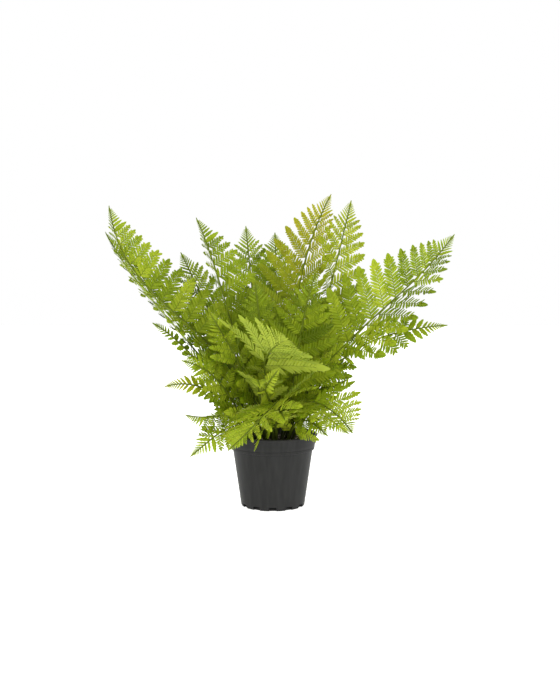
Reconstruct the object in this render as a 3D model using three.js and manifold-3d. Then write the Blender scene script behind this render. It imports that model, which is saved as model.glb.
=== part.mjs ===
// Potted fern: a dense clump of twice-divided fern fronds, rooted in potting mix in a plastic nursery pot.
// Millimetres, +Z up. The origin is the middle of the pot's base, on the surface that the pot stands on. The front
// is -Y. The pieces are the pot, the potting mix, and one closed body for each frond: its stalk, its side leaflets
// (pinnae), their cut lobes and the tip are one thin sheet, flat below and ridged along every rib above.
import * as THREE from "three";
import { mergeVertices } from "three/addons/utils/BufferGeometryUtils.js";
import Module from "manifold-3d";

const wasm = await Module();
wasm.setup();

// ---- driving dimensions ----

const POT = {
  height: 97, // floor to rim
  rimRadius: 60, // outside, at the top of the collar
  beadHeight: 3, // rolled edge at the top of the collar
  beadDepth: 0.9, // how far the rolled edge stands out of the collar
  collarHeight: 21, // the flared band below the rim
  collarFootRadius: 55.8, // outside, at the collar's lower edge
  bodyTopRadius: 53.6, // outside, just below the collar
  footRadius: 42.5, // outside, at the floor
  wall: 1.6,
  base: 2.4, // thickness of the floor of the pot
  sides: 30,
};
const DRAIN = { count: 12, width: 10, height: 4.7, reach: 7, firstAngle: -120 }; // slots in the foot's edge
const MIX = { level: 87, mound: 3, gap: 0.3, sides: 24, rootDepth: 12 }; // the potting mix and how deep stalks stand

const RACHIS = { halfWidthLow: 1.5, halfWidthTip: 0.7, ridgeLow: 2.2, ridgeTip: 1.2, stalkStep: 26 };
const PAIRS = {
  stepShare: 0.2, // from one pair of pinnae to the next, per millimetre from the tip
  stepMost: 21, // and at most
  smallest: 35, // no pair nearer the tip than this
  slope: 0.62, // length of a pinna near the tip, per millimetre from the tip
  angleLow: 60, // degrees between a pinna and the rachis at the foot of the blade
  angleTip: 44, // and at its tip
  widthShare: 0.52, // half-width of a pinna, per millimetre of free room to the next
  foot: 2.6, // length of rachis that a pinna grows from
};
const LEAFLET = {
  lobedFrom: 32, // shorter pinnae are undivided
  lobedShare: 0.72, // share of a pinna that is cut into lobes; the rest is an undivided point
  lobeStep: 21, // one lobe on each side per this length
  lobeLean: 0.85, // a lobe's point, as a share of its step
  cutShare: 0.3, // what the cuts leave on each side of the rib, as a share of a pinna's half-width
  ridge: 1.15, // thickness at the rib
  tipHalfWidth: 0.24, // half-width of the frond's undivided tip per millimetre of length
};
const ARCH = 0.12; // fall of a pinna's tip per millimetre of length
const CLEARANCE = 0.35; // kept round every pinna and stalk, so neighbours lie at least twice this apart
const LIFTS = [0, 12, -12, 24, -24, 38, -38, 52, -52]; // degrees that a pinna may be bent to pass a neighbour
const SHORTENINGS = [1, 0.8, 0.6]; // and how much shorter it may grow there

// Every frond: where its stalk stands in the mix, its rachis a third and two thirds of the way along and at the tip,
// the length of its blade, the length of its longest pinnae, the way its upper face looks, and the angle at which
// each half of the blade is folded up from flat. A frond may have its own values for some of PAIRS.
const FRONDS = [
  { name: "frond_left_high", root: [-13, -3], path: [[-76, -14, 208], [-160, -24, 288], [-212, -24, 398]],
    blade: 260, reach: 56, face: [0.72, -0.62, 0.3], fold: 40, pairs: { angleLow: 90, angleTip: 62 } },
  { name: "frond_left_low", root: [-14, 4], path: [[-89, 12, 187], [-166, 18, 278], [-226, 20, 367]],
    blade: 225, reach: 60, face: [0.72, -0.36, 0.6], fold: 30, pairs: { angleLow: 70, angleTip: 48 } },
  { name: "frond_left_upright", root: [-8, -9], path: [[-38, -18, 182], [-67, -22, 289], [-100, -18, 383]],
    blade: 240, reach: 66, face: [0.66, -0.72, 0.2], fold: 44, pairs: { angleLow: 88, angleTip: 68 } },
  { name: "frond_back_upright", root: [-6, 9], path: [[-16, 30, 180], [-28, 52, 282], [-38, 62, 378]],
    blade: 225, reach: 66, face: [0, -1, 0.2], fold: 12 },
  { name: "frond_top", root: [3, 8], path: [[22, 20, 203], [40, 26, 312], [79, 25, 418]],
    blade: 260, reach: 98, face: [-0.45, -0.88, 0.1], fold: 26 },
  { name: "frond_right_upright", root: [8, 0], path: [[48, -6, 193], [77, -12, 298], [103, -12, 406]],
    blade: 250, reach: 57, face: [0.15, -0.97, 0.1], fold: 14 },
  { name: "frond_right_high", root: [13, -3], path: [[75, -16, 193], [157, -26, 275], [236, -26, 361]],
    blade: 217, reach: 92, face: [-0.38, -0.84, 0.38], fold: 33, pairs: { angleLow: 66, angleTip: 48 } },
  { name: "frond_right_low", root: [16, -8], path: [[66, -22, 170], [128, -40, 222], [222, -62, 244]],
    blade: 95, reach: 40, face: [0, -0.9, 0.45], fold: 0, pairs: { slope: 0.42, angleLow: 64 } },
  { name: "frond_front_left", root: [-2, -15], path: [[12, -44, 142], [-4, -98, 140], [-53, -150, 98]],
    blade: 140, reach: 90, face: [-0.43, -0.3, 0.85], fold: 8, pairs: { slope: 0.85 } },
  { name: "frond_side_low_left", root: [-12, -15], path: [[-42, -44, 122], [-73, -80, 130], [-107, -116, 138]],
    blade: 115, reach: 60, face: [0, -0.5, 0.86], fold: -35 },
  { name: "frond_low_left", root: [-16, -20], path: [[-36, -50, 116], [-64, -90, 112], [-99, -128, 88]],
    blade: 80, reach: 46, face: [0.3, -0.6, 0.75], fold: -6, pairs: { slope: 0.5 } },
  { name: "frond_front_centre", root: [1, -10], path: [[-2, -38, 150], [-10, -82, 196], [20, -138, 232]],
    blade: 78, reach: 118, face: [0.4, 0.6, 0.68], fold: 19,
    pairs: { stepShare: 0.27, stepMost: 20, slope: 1.35, angleLow: 76 } },
  { name: "frond_side_left", root: [-18, -8], path: [[-50, -22, 131], [-92, -44, 163], [-138, -60, 165]],
    blade: 96, reach: 17, face: [0, -0.85, 0.5], fold: 8, pairs: { stepMost: 9.5 } },
  { name: "frond_front_right", root: [12, -14], path: [[36, -30, 138], [70, -80, 140], [95, -150, 120]],
    blade: 150, reach: 96, face: [-0.3, -0.2, 0.9], fold: 20, pairs: { angleLow: 66 } },
  { name: "frond_mid_right", root: [9, -6], path: [[28, -22, 175], [40, -46, 252], [56, -66, 312]],
    blade: 190, reach: 74, face: [0, -0.9, 0.4], fold: 14 },
  { name: "frond_mid_left", root: [-9, -14], path: [[-24, -34, 148], [-52, -56, 212], [-80, -74, 262]],
    blade: 155, reach: 72, face: [0.2, -0.85, 0.5], fold: 14 },
  { name: "frond_shoulder_right", root: [14, 2], path: [[48, 4, 165], [88, 2, 228], [126, -8, 282]],
    blade: 185, reach: 62, face: [-0.3, -0.8, 0.5], fold: 12 },
  { name: "frond_shoulder_left", root: [-18, 0], path: [[-46, -16, 146], [-82, -24, 188], [-118, -36, 208]],
    blade: 120, reach: 42, face: [0.2, -0.8, 0.5], fold: 10 },
  { name: "frond_low_right", root: [16, -17], path: [[33, -46, 118], [52, -76, 120], [70, -96, 107]],
    blade: 88, reach: 85, face: [0.1, -0.85, 0.5], fold: 8 },
  { name: "frond_low_centre", root: [-5, -20], path: [[-14, -44, 132], [-18, -84, 172], [-14, -130, 170]],
    blade: 110, reach: 62, face: [0.1, 0.3, 0.9], fold: 18 },
  { name: "frond_low_shoulder", root: [19, -3], path: [[42, -20, 150], [72, -42, 196], [94, -74, 222]],
    blade: 130, reach: 46, face: [-0.2, -0.7, 0.65], fold: 10 },
  { name: "frond_low_front", root: [5, -21], path: [[6, -50, 122], [10, -84, 136], [16, -124, 130]],
    blade: 84, reach: 60, face: [0, -0.6, 0.75], fold: 8 },
  { name: "frond_spear", root: [-1, -26], path: [[-2, -52, 140], [-8, -90, 164], [10, -128, 196]],
    blade: 90, reach: 14, face: [0, -0.9, 0.4], fold: 8, pairs: { stepMost: 8 } },
  { name: "frond_mid_centre", root: [-2, 0], path: [[-6, -14, 160], [-14, -36, 230], [-22, -58, 300]],
    blade: 170, reach: 66, face: [0.1, -0.9, 0.4], fold: 12 },
  { name: "frond_side_mid_left", root: [-22, -14], path: [[-56, -34, 150], [-84, -62, 186], [-114, -84, 201]],
    blade: 110, reach: 32, face: [0.1, -0.9, 0.4], fold: 4 },
  { name: "frond_left_middle", root: [-17, 10], path: [[-48, 22, 174], [-86, 28, 258], [-125, 24, 340]],
    blade: 140, reach: 50, face: [0.3, -0.9, 0.3], fold: 10 },
  { name: "frond_side_high_left", root: [-23, -1], path: [[-68, -4, 150], [-114, -6, 208], [-160, -8, 245]],
    blade: 62, reach: 9, face: [0, -0.9, 0.4], fold: 6, pairs: { stepMost: 9.5 } },
  { name: "frond_low_side_right", root: [21, -12], path: [[42, -30, 122], [63, -50, 128], [97, -76, 107]],
    blade: 84, reach: 52, face: [0.1, -0.8, 0.6], fold: 8 },
  { name: "frond_back_centre", root: [3, 14], path: [[4, 40, 196], [4, 92, 296], [2, 140, 374]],
    blade: 215, reach: 72, face: [0, -0.6, 0.8], fold: 12 },
  { name: "frond_back_left", root: [-12, 12], path: [[-34, 40, 172], [-78, 90, 244], [-126, 148, 280]],
    blade: 210, reach: 66, face: [0.3, -0.3, 0.9], fold: 12 },
  { name: "frond_back_right", root: [11, 11], path: [[34, 40, 176], [76, 94, 250], [120, 152, 292]],
    blade: 215, reach: 66, face: [-0.3, -0.3, 0.9], fold: 12 },
  { name: "frond_back_low_left", root: [-16, 17], path: [[-42, 52, 142], [-80, 108, 184], [-116, 164, 184]],
    blade: 140, reach: 60, face: [0.2, -0.1, 0.97], fold: 10 },
  { name: "frond_back_low_right", root: [12, 19], path: [[32, 58, 142], [58, 116, 184], [84, 180, 186]],
    blade: 140, reach: 60, face: [-0.2, -0.1, 0.97], fold: 10 },
];

// ---- finishes ----

const FINISH = {
  pot: new THREE.MeshStandardMaterial({ color: 0x3a393b, roughness: 0.55, metalness: 0 }),
  mix: new THREE.MeshStandardMaterial({ color: 0x2f231a, roughness: 0.95, metalness: 0 }),
  frond: new THREE.MeshStandardMaterial({ color: 0x7f9420, roughness: 0.5, metalness: 0 }),
};

// ---- solids ----

/** A closed geometry as a solid that can be cut. */
function toSolid(geometry) {
  const bare = geometry.clone();
  bare.deleteAttribute("normal");
  bare.deleteAttribute("uv");
  const merged = mergeVertices(bare, 1e-4);
  const triVerts = new Uint32Array(merged.index.array);
  const vertProperties = new Float32Array(merged.attributes.position.array);
  return new wasm.Manifold(new wasm.Mesh({ numProp: 3, vertProperties, triVerts }));
}

/** A solid back as a geometry. */
function toGeometry(solid) {
  const { vertProperties, triVerts } = solid.getMesh();
  return indexedGeometry(vertProperties, triVerts);
}

/** A geometry from a flat list of coordinates and a flat list of triangle corners. */
function indexedGeometry(coordinates, corners) {
  const geometry = new THREE.BufferGeometry();
  geometry.setAttribute("position", new THREE.BufferAttribute(new Float32Array(coordinates), 3));
  geometry.setIndex(new THREE.BufferAttribute(new Uint32Array(corners), 1));
  geometry.computeVertexNormals();
  return geometry;
}

/** A named piece of the plant. */
function piece(name, geometry, material) {
  const mesh = new THREE.Mesh(geometry, material);
  mesh.name = name;
  return mesh;
}

/** A body of revolution about Z, from [radius, height] points that start and end on the axis. */
function turned(profile, sides) {
  const points = profile.map(([radius, height]) => new THREE.Vector2(radius, height));
  return new THREE.LatheGeometry(points, sides).rotateX(Math.PI / 2);
}

// ---- pot and potting mix ----

/** Outside radius of the pot's tapered body at a height. */
function bodyRadius(height) {
  const share = height / (POT.height - POT.collarHeight);
  return THREE.MathUtils.lerp(POT.footRadius, POT.bodyTopRadius, share);
}

/** Outside radius of the flared collar at a height. */
function collarRadius(height) {
  const share = (height - (POT.height - POT.collarHeight)) / POT.collarHeight;
  return THREE.MathUtils.lerp(POT.collarFootRadius, POT.rimRadius - POT.beadDepth, share);
}

/** The pot: tapered body, flared collar with a rolled edge, flat floor and drain slots cut in the foot's edge. */
function potSolid() {
  const collarFoot = POT.height - POT.collarHeight;
  const beadFoot = POT.height - POT.beadHeight;
  const pot = toSolid(turned([
    [0, 0],
    [POT.footRadius - 1, 0],
    [POT.footRadius, 1],
    [bodyRadius(collarFoot), collarFoot],
    [POT.collarFootRadius, collarFoot],
    [collarRadius(beadFoot), beadFoot],
    [POT.rimRadius, beadFoot + 0.8],
    [POT.rimRadius, POT.height - 0.8],
    [POT.rimRadius - 1, POT.height],
    [collarRadius(POT.height) - POT.wall, POT.height],
    [collarRadius(collarFoot + POT.wall) - POT.wall, collarFoot + POT.wall],
    [bodyRadius(collarFoot + POT.wall) - POT.wall, collarFoot + POT.wall],
    [bodyRadius(POT.base) - POT.wall, POT.base],
    [0, POT.base],
  ], POT.sides));
  let cut = pot;
  for (let i = 0; i < DRAIN.count; i++) {
    const slot = new THREE.BoxGeometry(DRAIN.reach, DRAIN.width, 2 * DRAIN.height);
    slot.translate(POT.footRadius, 0, 0);
    slot.rotateZ(THREE.MathUtils.degToRad(DRAIN.firstAngle + (360 * i) / DRAIN.count));
    cut = cut.subtract(toSolid(slot));
  }
  return cut;
}

/** Height of the mix's mounded surface at a distance from the middle. */
function mixHeight(radius) {
  return MIX.level + MIX.mound * (1 - (radius / POT.collarFootRadius) ** 2);
}

/** The potting mix before the stalks' holes are cut in it. */
function mixSolid() {
  const ledge = POT.height - POT.collarHeight + POT.wall;
  const floor = POT.base + MIX.gap;
  const inset = POT.wall + 3 * MIX.gap;
  const brim = collarRadius(MIX.level) - inset;
  return toSolid(turned([
    [0, floor],
    [bodyRadius(floor) - inset - 1, floor],
    [bodyRadius(ledge) - inset, ledge + MIX.gap],
    [collarRadius(ledge) - inset, ledge + MIX.gap],
    [brim, MIX.level],
    [brim * 0.7, mixHeight(brim * 0.7)],
    [brim * 0.35, mixHeight(brim * 0.35)],
    [0, mixHeight(0)],
  ], MIX.sides));
}

// ---- fronds ----

/** The rachis of a frond: a cubic curve through its root, the two points on its way and its tip. */
class Rachis {
  constructor({ root, path, face, blade, pairs }) {
    const start = new THREE.Vector3(root[0], root[1], mixHeight(Math.hypot(...root)) - MIX.rootDepth);
    const [third, twoThirds, tip] = path.map((point) => new THREE.Vector3(...point));
    this.curve = new THREE.CubicBezierCurve3(
      start,
      through(start, third, twoThirds, tip),
      through(tip, twoThirds, third, start),
      tip,
    );
    this.length = this.curve.getLength();
    this.tip = tip;
    this.face = new THREE.Vector3(...face);
    this.blade = blade;
    this.pairs = { ...PAIRS, ...pairs };
    const bare = this.length - blade - PAIRS.foot;
    const rows = Math.ceil(bare / RACHIS.stalkStep);
    this.stalk = Array.from({ length: rows + 1 }, (_, row) => (bare * row) / rows);
  }

  /** The rachis at a distance from its root: its place, and the ways it runs, faces and spreads to the right. */
  at(distance) {
    const share = THREE.MathUtils.clamp(distance / this.length, 0, 1);
    const along = this.curve.getTangentAt(share);
    const place = this.curve.getPointAt(share).addScaledVector(along, distance - share * this.length);
    const up = this.face.clone().addScaledVector(along, -this.face.dot(along)).normalize();
    const right = new THREE.Vector3().crossVectors(along, up);
    const halfWidth = THREE.MathUtils.lerp(RACHIS.halfWidthLow, RACHIS.halfWidthTip, share);
    const ridge = THREE.MathUtils.lerp(RACHIS.ridgeLow, RACHIS.ridgeTip, share);
    return { place, along, up, right, halfWidth, ridge };
  }

  /** A point on the rachis: -1 for its left edge, 1 for its right edge, and how high it stands above the underside. */
  point(distance, side, height) {
    const { place, up, right, halfWidth } = this.at(distance);
    return place.addScaledVector(right, side * halfWidth).addScaledVector(up, height);
  }
}

/** The first handle of the cubic curve that passes through four points at equal steps. */
function through(start, third, twoThirds, end) {
  return start.clone().multiplyScalar(-5)
    .addScaledVector(third, 18)
    .addScaledVector(twoThirds, -9)
    .addScaledVector(end, 2)
    .divideScalar(6);
}

/** One side leaflet: where it grows from the rachis, and the ways it points, faces and spreads to its own right. */
class Pinna {
  constructor(rachis, { fold, reach }, fromTip, step, side) {
    this.side = side;
    this.distance = rachis.length - fromTip;
    const { angleTip, angleLow, slope, widthShare } = rachis.pairs;
    const angle = THREE.MathUtils.degToRad(THREE.MathUtils.lerp(angleTip, angleLow, fromTip / rachis.blade));
    const tilt = THREE.MathUtils.degToRad(fold);
    const { along, up, right } = rachis.at(this.distance);
    const outward = right.clone().multiplyScalar(side * Math.cos(tilt)).addScaledVector(up, Math.sin(tilt));
    this.flatUp = up.clone().multiplyScalar(Math.cos(tilt)).addScaledVector(right, -side * Math.sin(tilt));
    this.flatOut = along.multiplyScalar(Math.cos(angle)).addScaledVector(outward, Math.sin(angle));
    this.base = rachis.point(this.distance, side, 0);
    this.fullLength = reach * Math.tanh((slope * fromTip) / reach);
    this.fullHalfWidth = widthShare * step * Math.sin(angle);
    this.bend(0, 1);
  }

  /** Bends the pinna up or down at its foot, and sets how much of its length it grows. */
  bend(lift, shortening) {
    const turn = THREE.MathUtils.degToRad(lift);
    this.out = this.flatOut.clone().multiplyScalar(Math.cos(turn)).addScaledVector(this.flatUp, Math.sin(turn));
    this.up = this.flatUp.clone().multiplyScalar(Math.cos(turn)).addScaledVector(this.flatOut, -Math.sin(turn));
    this.right = new THREE.Vector3().crossVectors(this.out, this.up);
    this.length = this.fullLength * shortening;
    this.halfWidth = this.fullHalfWidth * shortening;
  }

  /** A point at a share of its length, at a distance to its right, and at a height above its arched underside. */
  point(share, across, height) {
    const arch = -ARCH * this.length * share * share;
    return this.base.clone()
      .addScaledVector(this.out, this.length * share)
      .addScaledVector(this.right, across)
      .addScaledVector(this.up, arch + height);
  }
}

/** Half-width of a pinna at a share of its length, as a share of its greatest half-width. */
function pinnaOutline(share) {
  const belly = 0.75 + 0.25 * Math.sin(Math.PI * Math.min(share / 0.6, 1));
  return belly * (1 - 0.45 * share);
}

/** A thin closed sheet: its upper and lower faces share the points of their outline. */
class Sheet {
  constructor() {
    this.coordinates = [];
    this.corners = [];
  }

  /** Adds a point that stands at a given place along its line, and returns it as a stop of that line. */
  stop(point, along) {
    this.coordinates.push(point.x, point.y, point.z);
    return { index: this.coordinates.length / 3 - 1, along };
  }

  /** Adds a triangle, unless two of its corners are the same. */
  face(a, b, c) {
    if (a.index !== b.index && b.index !== c.index && c.index !== a.index) {
      this.corners.push(a.index, b.index, c.index);
    }
  }

  /** Fills the band between a left-hand and a right-hand line of stops; below is true for the underside. */
  band(left, right, below = false) {
    let i = 0;
    let j = 0;
    while (i < left.length - 1 || j < right.length - 1) {
      const stepLeft = j === right.length - 1 || (i < left.length - 1 && left[i + 1].along <= right[j + 1].along);
      const next = stepLeft ? left[i + 1] : right[j + 1];
      const [first, second] = below ? [right[j], left[i]] : [left[i], right[j]];
      this.face(first, second, next);
      if (stepLeft) i++;
      else j++;
    }
  }

  /** Adds a leaf that grows from three stops: lobes on both sides of its rib, and an undivided point. */
  leaf(shape, lobes, foot) {
    const { point, halfWidth, outline, endsAt } = shape;
    const lines = { left: [foot.left], right: [foot.right], cutLeft: [foot.left], cutRight: [foot.right] };
    const rib = [foot.rib];
    const lobedShare = lobes > 0 ? LEAFLET.lobedShare : 0;
    const step = lobedShare / Math.max(lobes, 1);
    const cut = LEAFLET.cutShare * halfWidth;
    for (let lobe = 0; lobe < lobes; lobe++) {
      const peak = (lobe + LEAFLET.lobeLean) * step;
      const end = (lobe + 1) * step;
      for (const [name, cutName, side] of [["left", "cutLeft", -1], ["right", "cutRight", 1]]) {
        const before = lines[cutName].at(-1);
        const lobeTip = this.stop(point(peak, side * halfWidth * outline(peak), 0), peak);
        const after = this.stop(point(end, side * cut, 0), end);
        lines[name].push(lobeTip, after);
        lines[cutName].push(after);
        if (side < 0) this.face(before, lobeTip, after);
        else this.face(lobeTip, before, after);
      }
      rib.push(this.stop(point(end, 0, LEAFLET.ridge * (1 - 0.3 * end)), end));
    }
    const widest = lobes > 0 ? LEAFLET.lobedShare + 0.1 : 0.42;
    const spread = lobes > 0 ? halfWidth * outline(widest) : halfWidth;
    const end = this.stop(endsAt, 1);
    for (const [name, cutName, side] of [["left", "cutLeft", -1], ["right", "cutRight", 1]]) {
      const shoulder = this.stop(point(widest, side * spread, 0), widest);
      lines[name].push(shoulder, end);
      lines[cutName].push(shoulder, end);
    }
    rib.push(this.stop(point(widest, 0, LEAFLET.ridge * 0.75), widest), end);
    this.band(lines.left, rib);
    this.band(rib, lines.right);
    this.band(lines.cutLeft, lines.cutRight, true);
  }
}

/** How many lobes a pinna of a length has on each side. */
function lobeCount(length) {
  if (length < LEAFLET.lobedFrom) return 0;
  return Math.max(1, Math.round((LEAFLET.lobedShare * length) / LEAFLET.lobeStep));
}

/** The pinnae of a frond, from the foot of its blade to its tip, left and right in turn. */
function pinnaeOf(rachis, frond) {
  const { smallest, stepShare, stepMost } = rachis.pairs;
  const pinnae = [];
  let fromTip = rachis.blade;
  while (fromTip >= smallest) {
    const step = Math.min(stepShare * fromTip, stepMost);
    pinnae.push(new Pinna(rachis, frond, fromTip, step, -1));
    pinnae.push(new Pinna(rachis, frond, fromTip - step / 2, step, 1));
    fromTip -= step;
  }
  return pinnae;
}

/** The closed body of a frond whose pinnae are already bent clear. */
function frondGeometry(rachis, pinnae) {
  const sheet = new Sheet();
  const crownAt = Math.max(...pinnae.map((pinna) => pinna.distance)) + PAIRS.foot;
  const edge = { "-1": [], "1": [] };
  const edgeAbove = { "-1": [], "1": [] };
  const middle = [];
  for (const distance of rachis.stalk) {
    middle.push(sheet.stop(rachis.point(distance, 0, rachis.at(distance).ridge), distance));
  }
  for (const side of [-1, 1]) {
    for (const distance of rachis.stalk) {
      const stop = sheet.stop(rachis.point(distance, side, 0), distance);
      edge[side].push(stop);
      edgeAbove[side].push(stop);
    }
  }
  for (const pinna of pinnae) {
    const { side, distance } = pinna;
    middle.push(sheet.stop(rachis.point(distance, 0, rachis.at(distance).ridge), distance));
    if (!pinna.grows) continue;
    const before = sheet.stop(rachis.point(distance - PAIRS.foot / 2, side, 0), distance - PAIRS.foot / 2);
    const rib = sheet.stop(pinna.point(0, 0, LEAFLET.ridge), distance);
    const after = sheet.stop(rachis.point(distance + PAIRS.foot / 2, side, 0), distance + PAIRS.foot / 2);
    edge[side].push(before, after);
    edgeAbove[side].push(before, rib, after);
    const foot = side < 0 ? { left: before, rib, right: after } : { left: after, rib, right: before };
    const shape = {
      point: (share, across, height) => pinna.point(share, across, height),
      halfWidth: pinna.halfWidth,
      outline: pinnaOutline,
      endsAt: pinna.point(1, 0, 0),
    };
    sheet.leaf(shape, lobeCount(pinna.length), { ...foot, left: { ...foot.left, along: 0 },
      right: { ...foot.right, along: 0 }, rib: { ...rib, along: 0 } });
  }
  const crown = [-1, 1].map((side) => sheet.stop(rachis.point(crownAt, side, 0), crownAt));
  const crownRidge = sheet.stop(rachis.point(crownAt, 0, rachis.at(crownAt).ridge), crownAt);
  edge[-1].push(crown[0]);
  edgeAbove[-1].push(crown[0]);
  edge[1].push(crown[1]);
  edgeAbove[1].push(crown[1]);
  middle.push(crownRidge);
  sheet.band(edgeAbove[-1], middle);
  sheet.band(middle, edgeAbove[1]);
  sheet.band(edge[-1], edge[1], true);
  sheet.face(edge[-1][0], edge[1][0], middle[0]);
  sheet.leaf(tipShape(rachis, crownAt), 2, {
    left: { ...crown[0], along: 0 },
    rib: { ...crownRidge, along: 0 },
    right: { ...crown[1], along: 0 },
  });
  return indexedGeometry(sheet.coordinates, sheet.corners);
}

/** The undivided tip of a frond, from where its last pinna grows to the end of its rachis. */
function tipShape(rachis, from) {
  const { place, up } = rachis.at(from);
  const out = rachis.tip.clone().sub(place);
  const length = out.length();
  out.normalize();
  const right = new THREE.Vector3().crossVectors(out, up).normalize();
  return {
    point: (share, across, height) => place.clone()
      .addScaledVector(out, length * share)
      .addScaledVector(right, across)
      .addScaledVector(up, height),
    halfWidth: LEAFLET.tipHalfWidth * length,
    outline: (share) => 1 - 0.75 * share,
    endsAt: rachis.tip,
  };
}

// ---- bending clear ----

/** A closed body with a four-cornered section at each station. */
function lofted(stations) {
  const coordinates = stations.flat().flatMap((corner) => corner.toArray());
  const corners = [];
  const quad = (a, b, c, d) => corners.push(a, b, c, a, c, d);
  quad(0, 1, 2, 3);
  for (let i = 0; i < stations.length - 1; i++) {
    const [near, far] = [4 * i, 4 * (i + 1)];
    for (let k = 0; k < 4; k++) quad(near + k, far + k, far + ((k + 1) % 4), near + ((k + 1) % 4));
  }
  const last = 4 * (stations.length - 1);
  quad(last + 3, last + 2, last + 1, last);
  return toSolid(indexedGeometry(coordinates, corners));
}

/** The room that a pinna needs, with its clearance. */
function pinnaRoom(pinna) {
  const stations = [0.06, 0.35, LEAFLET.lobedShare, 1].map((share) => {
    const spread = pinna.halfWidth * (share < 1 ? pinnaOutline(share) : 0.1) + CLEARANCE;
    const above = LEAFLET.ridge + CLEARANCE;
    return [
      pinna.point(share, -spread, -CLEARANCE),
      pinna.point(share, spread, -CLEARANCE),
      pinna.point(share, spread, above),
      pinna.point(share, -spread, above),
    ];
  });
  return lofted(stations);
}

/** The room that a rachis needs through the given distances from its root, with its clearance. */
function rachisRoom(rachis, distances) {
  const stations = distances.map((distance) => {
    const { place, up, right, halfWidth, ridge } = rachis.at(distance);
    const corner = (across, height) => place.clone().addScaledVector(right, across).addScaledVector(up, height);
    const spread = halfWidth + CLEARANCE;
    return [
      corner(-spread, -CLEARANCE),
      corner(spread, -CLEARANCE),
      corner(spread, ridge + CLEARANCE),
      corner(-spread, ridge + CLEARANCE),
    ];
  });
  return lofted(stations);
}

/** Whether two solids share any space. */
function meet(first, second) {
  const [a, b] = [first.boundingBox(), second.boundingBox()];
  if ([0, 1, 2].some((axis) => a.max[axis] < b.min[axis] || b.max[axis] < a.min[axis])) return false;
  const shared = first.intersect(second);
  const meets = shared.volume() > 1e-6;
  shared.delete();
  return meets;
}

/** Bends each pinna clear of everything that stands already, or leaves it out where no bend is clear. */
function bendClear(pinnae, obstacles) {
  for (const pinna of pinnae) {
    pinna.grows = false;
    for (const shortening of SHORTENINGS) {
      for (const lift of LIFTS) {
        pinna.bend(lift, shortening);
        const room = pinnaRoom(pinna);
        if (obstacles.some((obstacle) => meet(room, obstacle))) {
          room.delete();
          continue;
        }
        pinna.grows = true;
        pinna.room = room;
        break;
      }
      if (pinna.grows) break;
    }
  }
}

// ---- the plant ----

const group = new THREE.Group();
const pot = potSolid();
let mix = mixSolid();
const stands = FRONDS.map((frond) => {
  const rachis = new Rachis(frond);
  const pinnae = pinnaeOf(rachis, frond);
  const stops = [...rachis.stalk, ...pinnae.map((pinna) => pinna.distance), rachis.length];
  return { name: frond.name, rachis, pinnae, room: rachisRoom(rachis, stops) };
});
for (const { rachis } of stands) mix = mix.subtract(rachisRoom(rachis, [-CLEARANCE, ...rachis.stalk.slice(1)]));
group.add(piece("pot", toGeometry(pot), FINISH.pot), piece("potting_mix", toGeometry(mix), FINISH.mix));

const grown = [];
for (const { name, rachis, pinnae, room } of stands) {
  const others = stands.filter((stand) => stand.room !== room).map((stand) => stand.room);
  bendClear(pinnae, [pot, mix, ...others, ...grown]);
  grown.push(...pinnae.filter((pinna) => pinna.grows).map((pinna) => pinna.room));
  group.add(piece(name, frondGeometry(rachis, pinnae), FINISH.frond));
}

export default group;
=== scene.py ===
"""A potted fern: finely cut fronds, loose potting mix and a nursery pot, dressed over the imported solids.

The solids are in metres, +Z up, with the front towards -Y. Sizes in this file are real sizes in millimetres,
and MM turns them to metres. Every frond repeats the rachis and the pinnae of its solid, and cuts each pinna
into the small pinnules that the solid leaves out.
"""

import logging
import math
from abc import ABC, abstractmethod
from collections.abc import Callable
from dataclasses import dataclass, field
from enum import Enum
from functools import partial

import bmesh
import bpy
import numpy as np
from mathutils import Matrix, Vector
from mathutils.kdtree import KDTree


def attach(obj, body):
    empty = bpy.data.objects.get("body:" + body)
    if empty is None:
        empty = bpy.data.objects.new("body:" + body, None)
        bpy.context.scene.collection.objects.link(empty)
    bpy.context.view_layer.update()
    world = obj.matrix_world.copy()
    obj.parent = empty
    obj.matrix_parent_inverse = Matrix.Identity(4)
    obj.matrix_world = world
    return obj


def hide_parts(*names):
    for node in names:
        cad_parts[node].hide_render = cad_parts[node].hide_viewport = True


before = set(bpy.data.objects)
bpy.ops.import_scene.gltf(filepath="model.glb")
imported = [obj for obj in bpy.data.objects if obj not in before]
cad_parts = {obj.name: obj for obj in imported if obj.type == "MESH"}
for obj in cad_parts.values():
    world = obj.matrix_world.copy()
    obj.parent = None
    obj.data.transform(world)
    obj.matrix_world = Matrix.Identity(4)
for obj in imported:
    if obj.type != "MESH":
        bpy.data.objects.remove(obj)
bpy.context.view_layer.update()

log = logging.getLogger("potted_fern")

MM = 0.001
BODY = "root"
SIDES = (-1, 1)

Inputs = dict[str | int, object]
Stops = tuple[tuple[float, str], ...]
AddNode = Callable[..., bpy.types.NodeSocket]


# ---- small helpers ----


def linear(hex_colour: str) -> tuple[float, float, float, float]:
    """Turns an sRGB colour to linear light.

    Args:
        hex_colour: six hex digits, with or without a leading #.

    Returns:
        Linear red, green and blue, and an alpha of 1.
    """
    digits = hex_colour.lstrip("#")
    values = [int(digits[i : i + 2], 16) / 255 for i in (0, 2, 4)]
    red, green, blue = [v / 12.92 if v <= 0.04045 else ((v + 0.055) / 1.055) ** 2.4 for v in values]
    return red, green, blue, 1.0


def unit(vectors: np.ndarray) -> np.ndarray:
    """Scales a vector, or each row of an array of vectors, to length 1."""
    return vectors / np.linalg.norm(vectors, axis=-1, keepdims=True)


def lerp(low: float, high: float, share: float | np.ndarray) -> float | np.ndarray:
    """The value a share of the way from low to high."""
    return low + (high - low) * share


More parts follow.
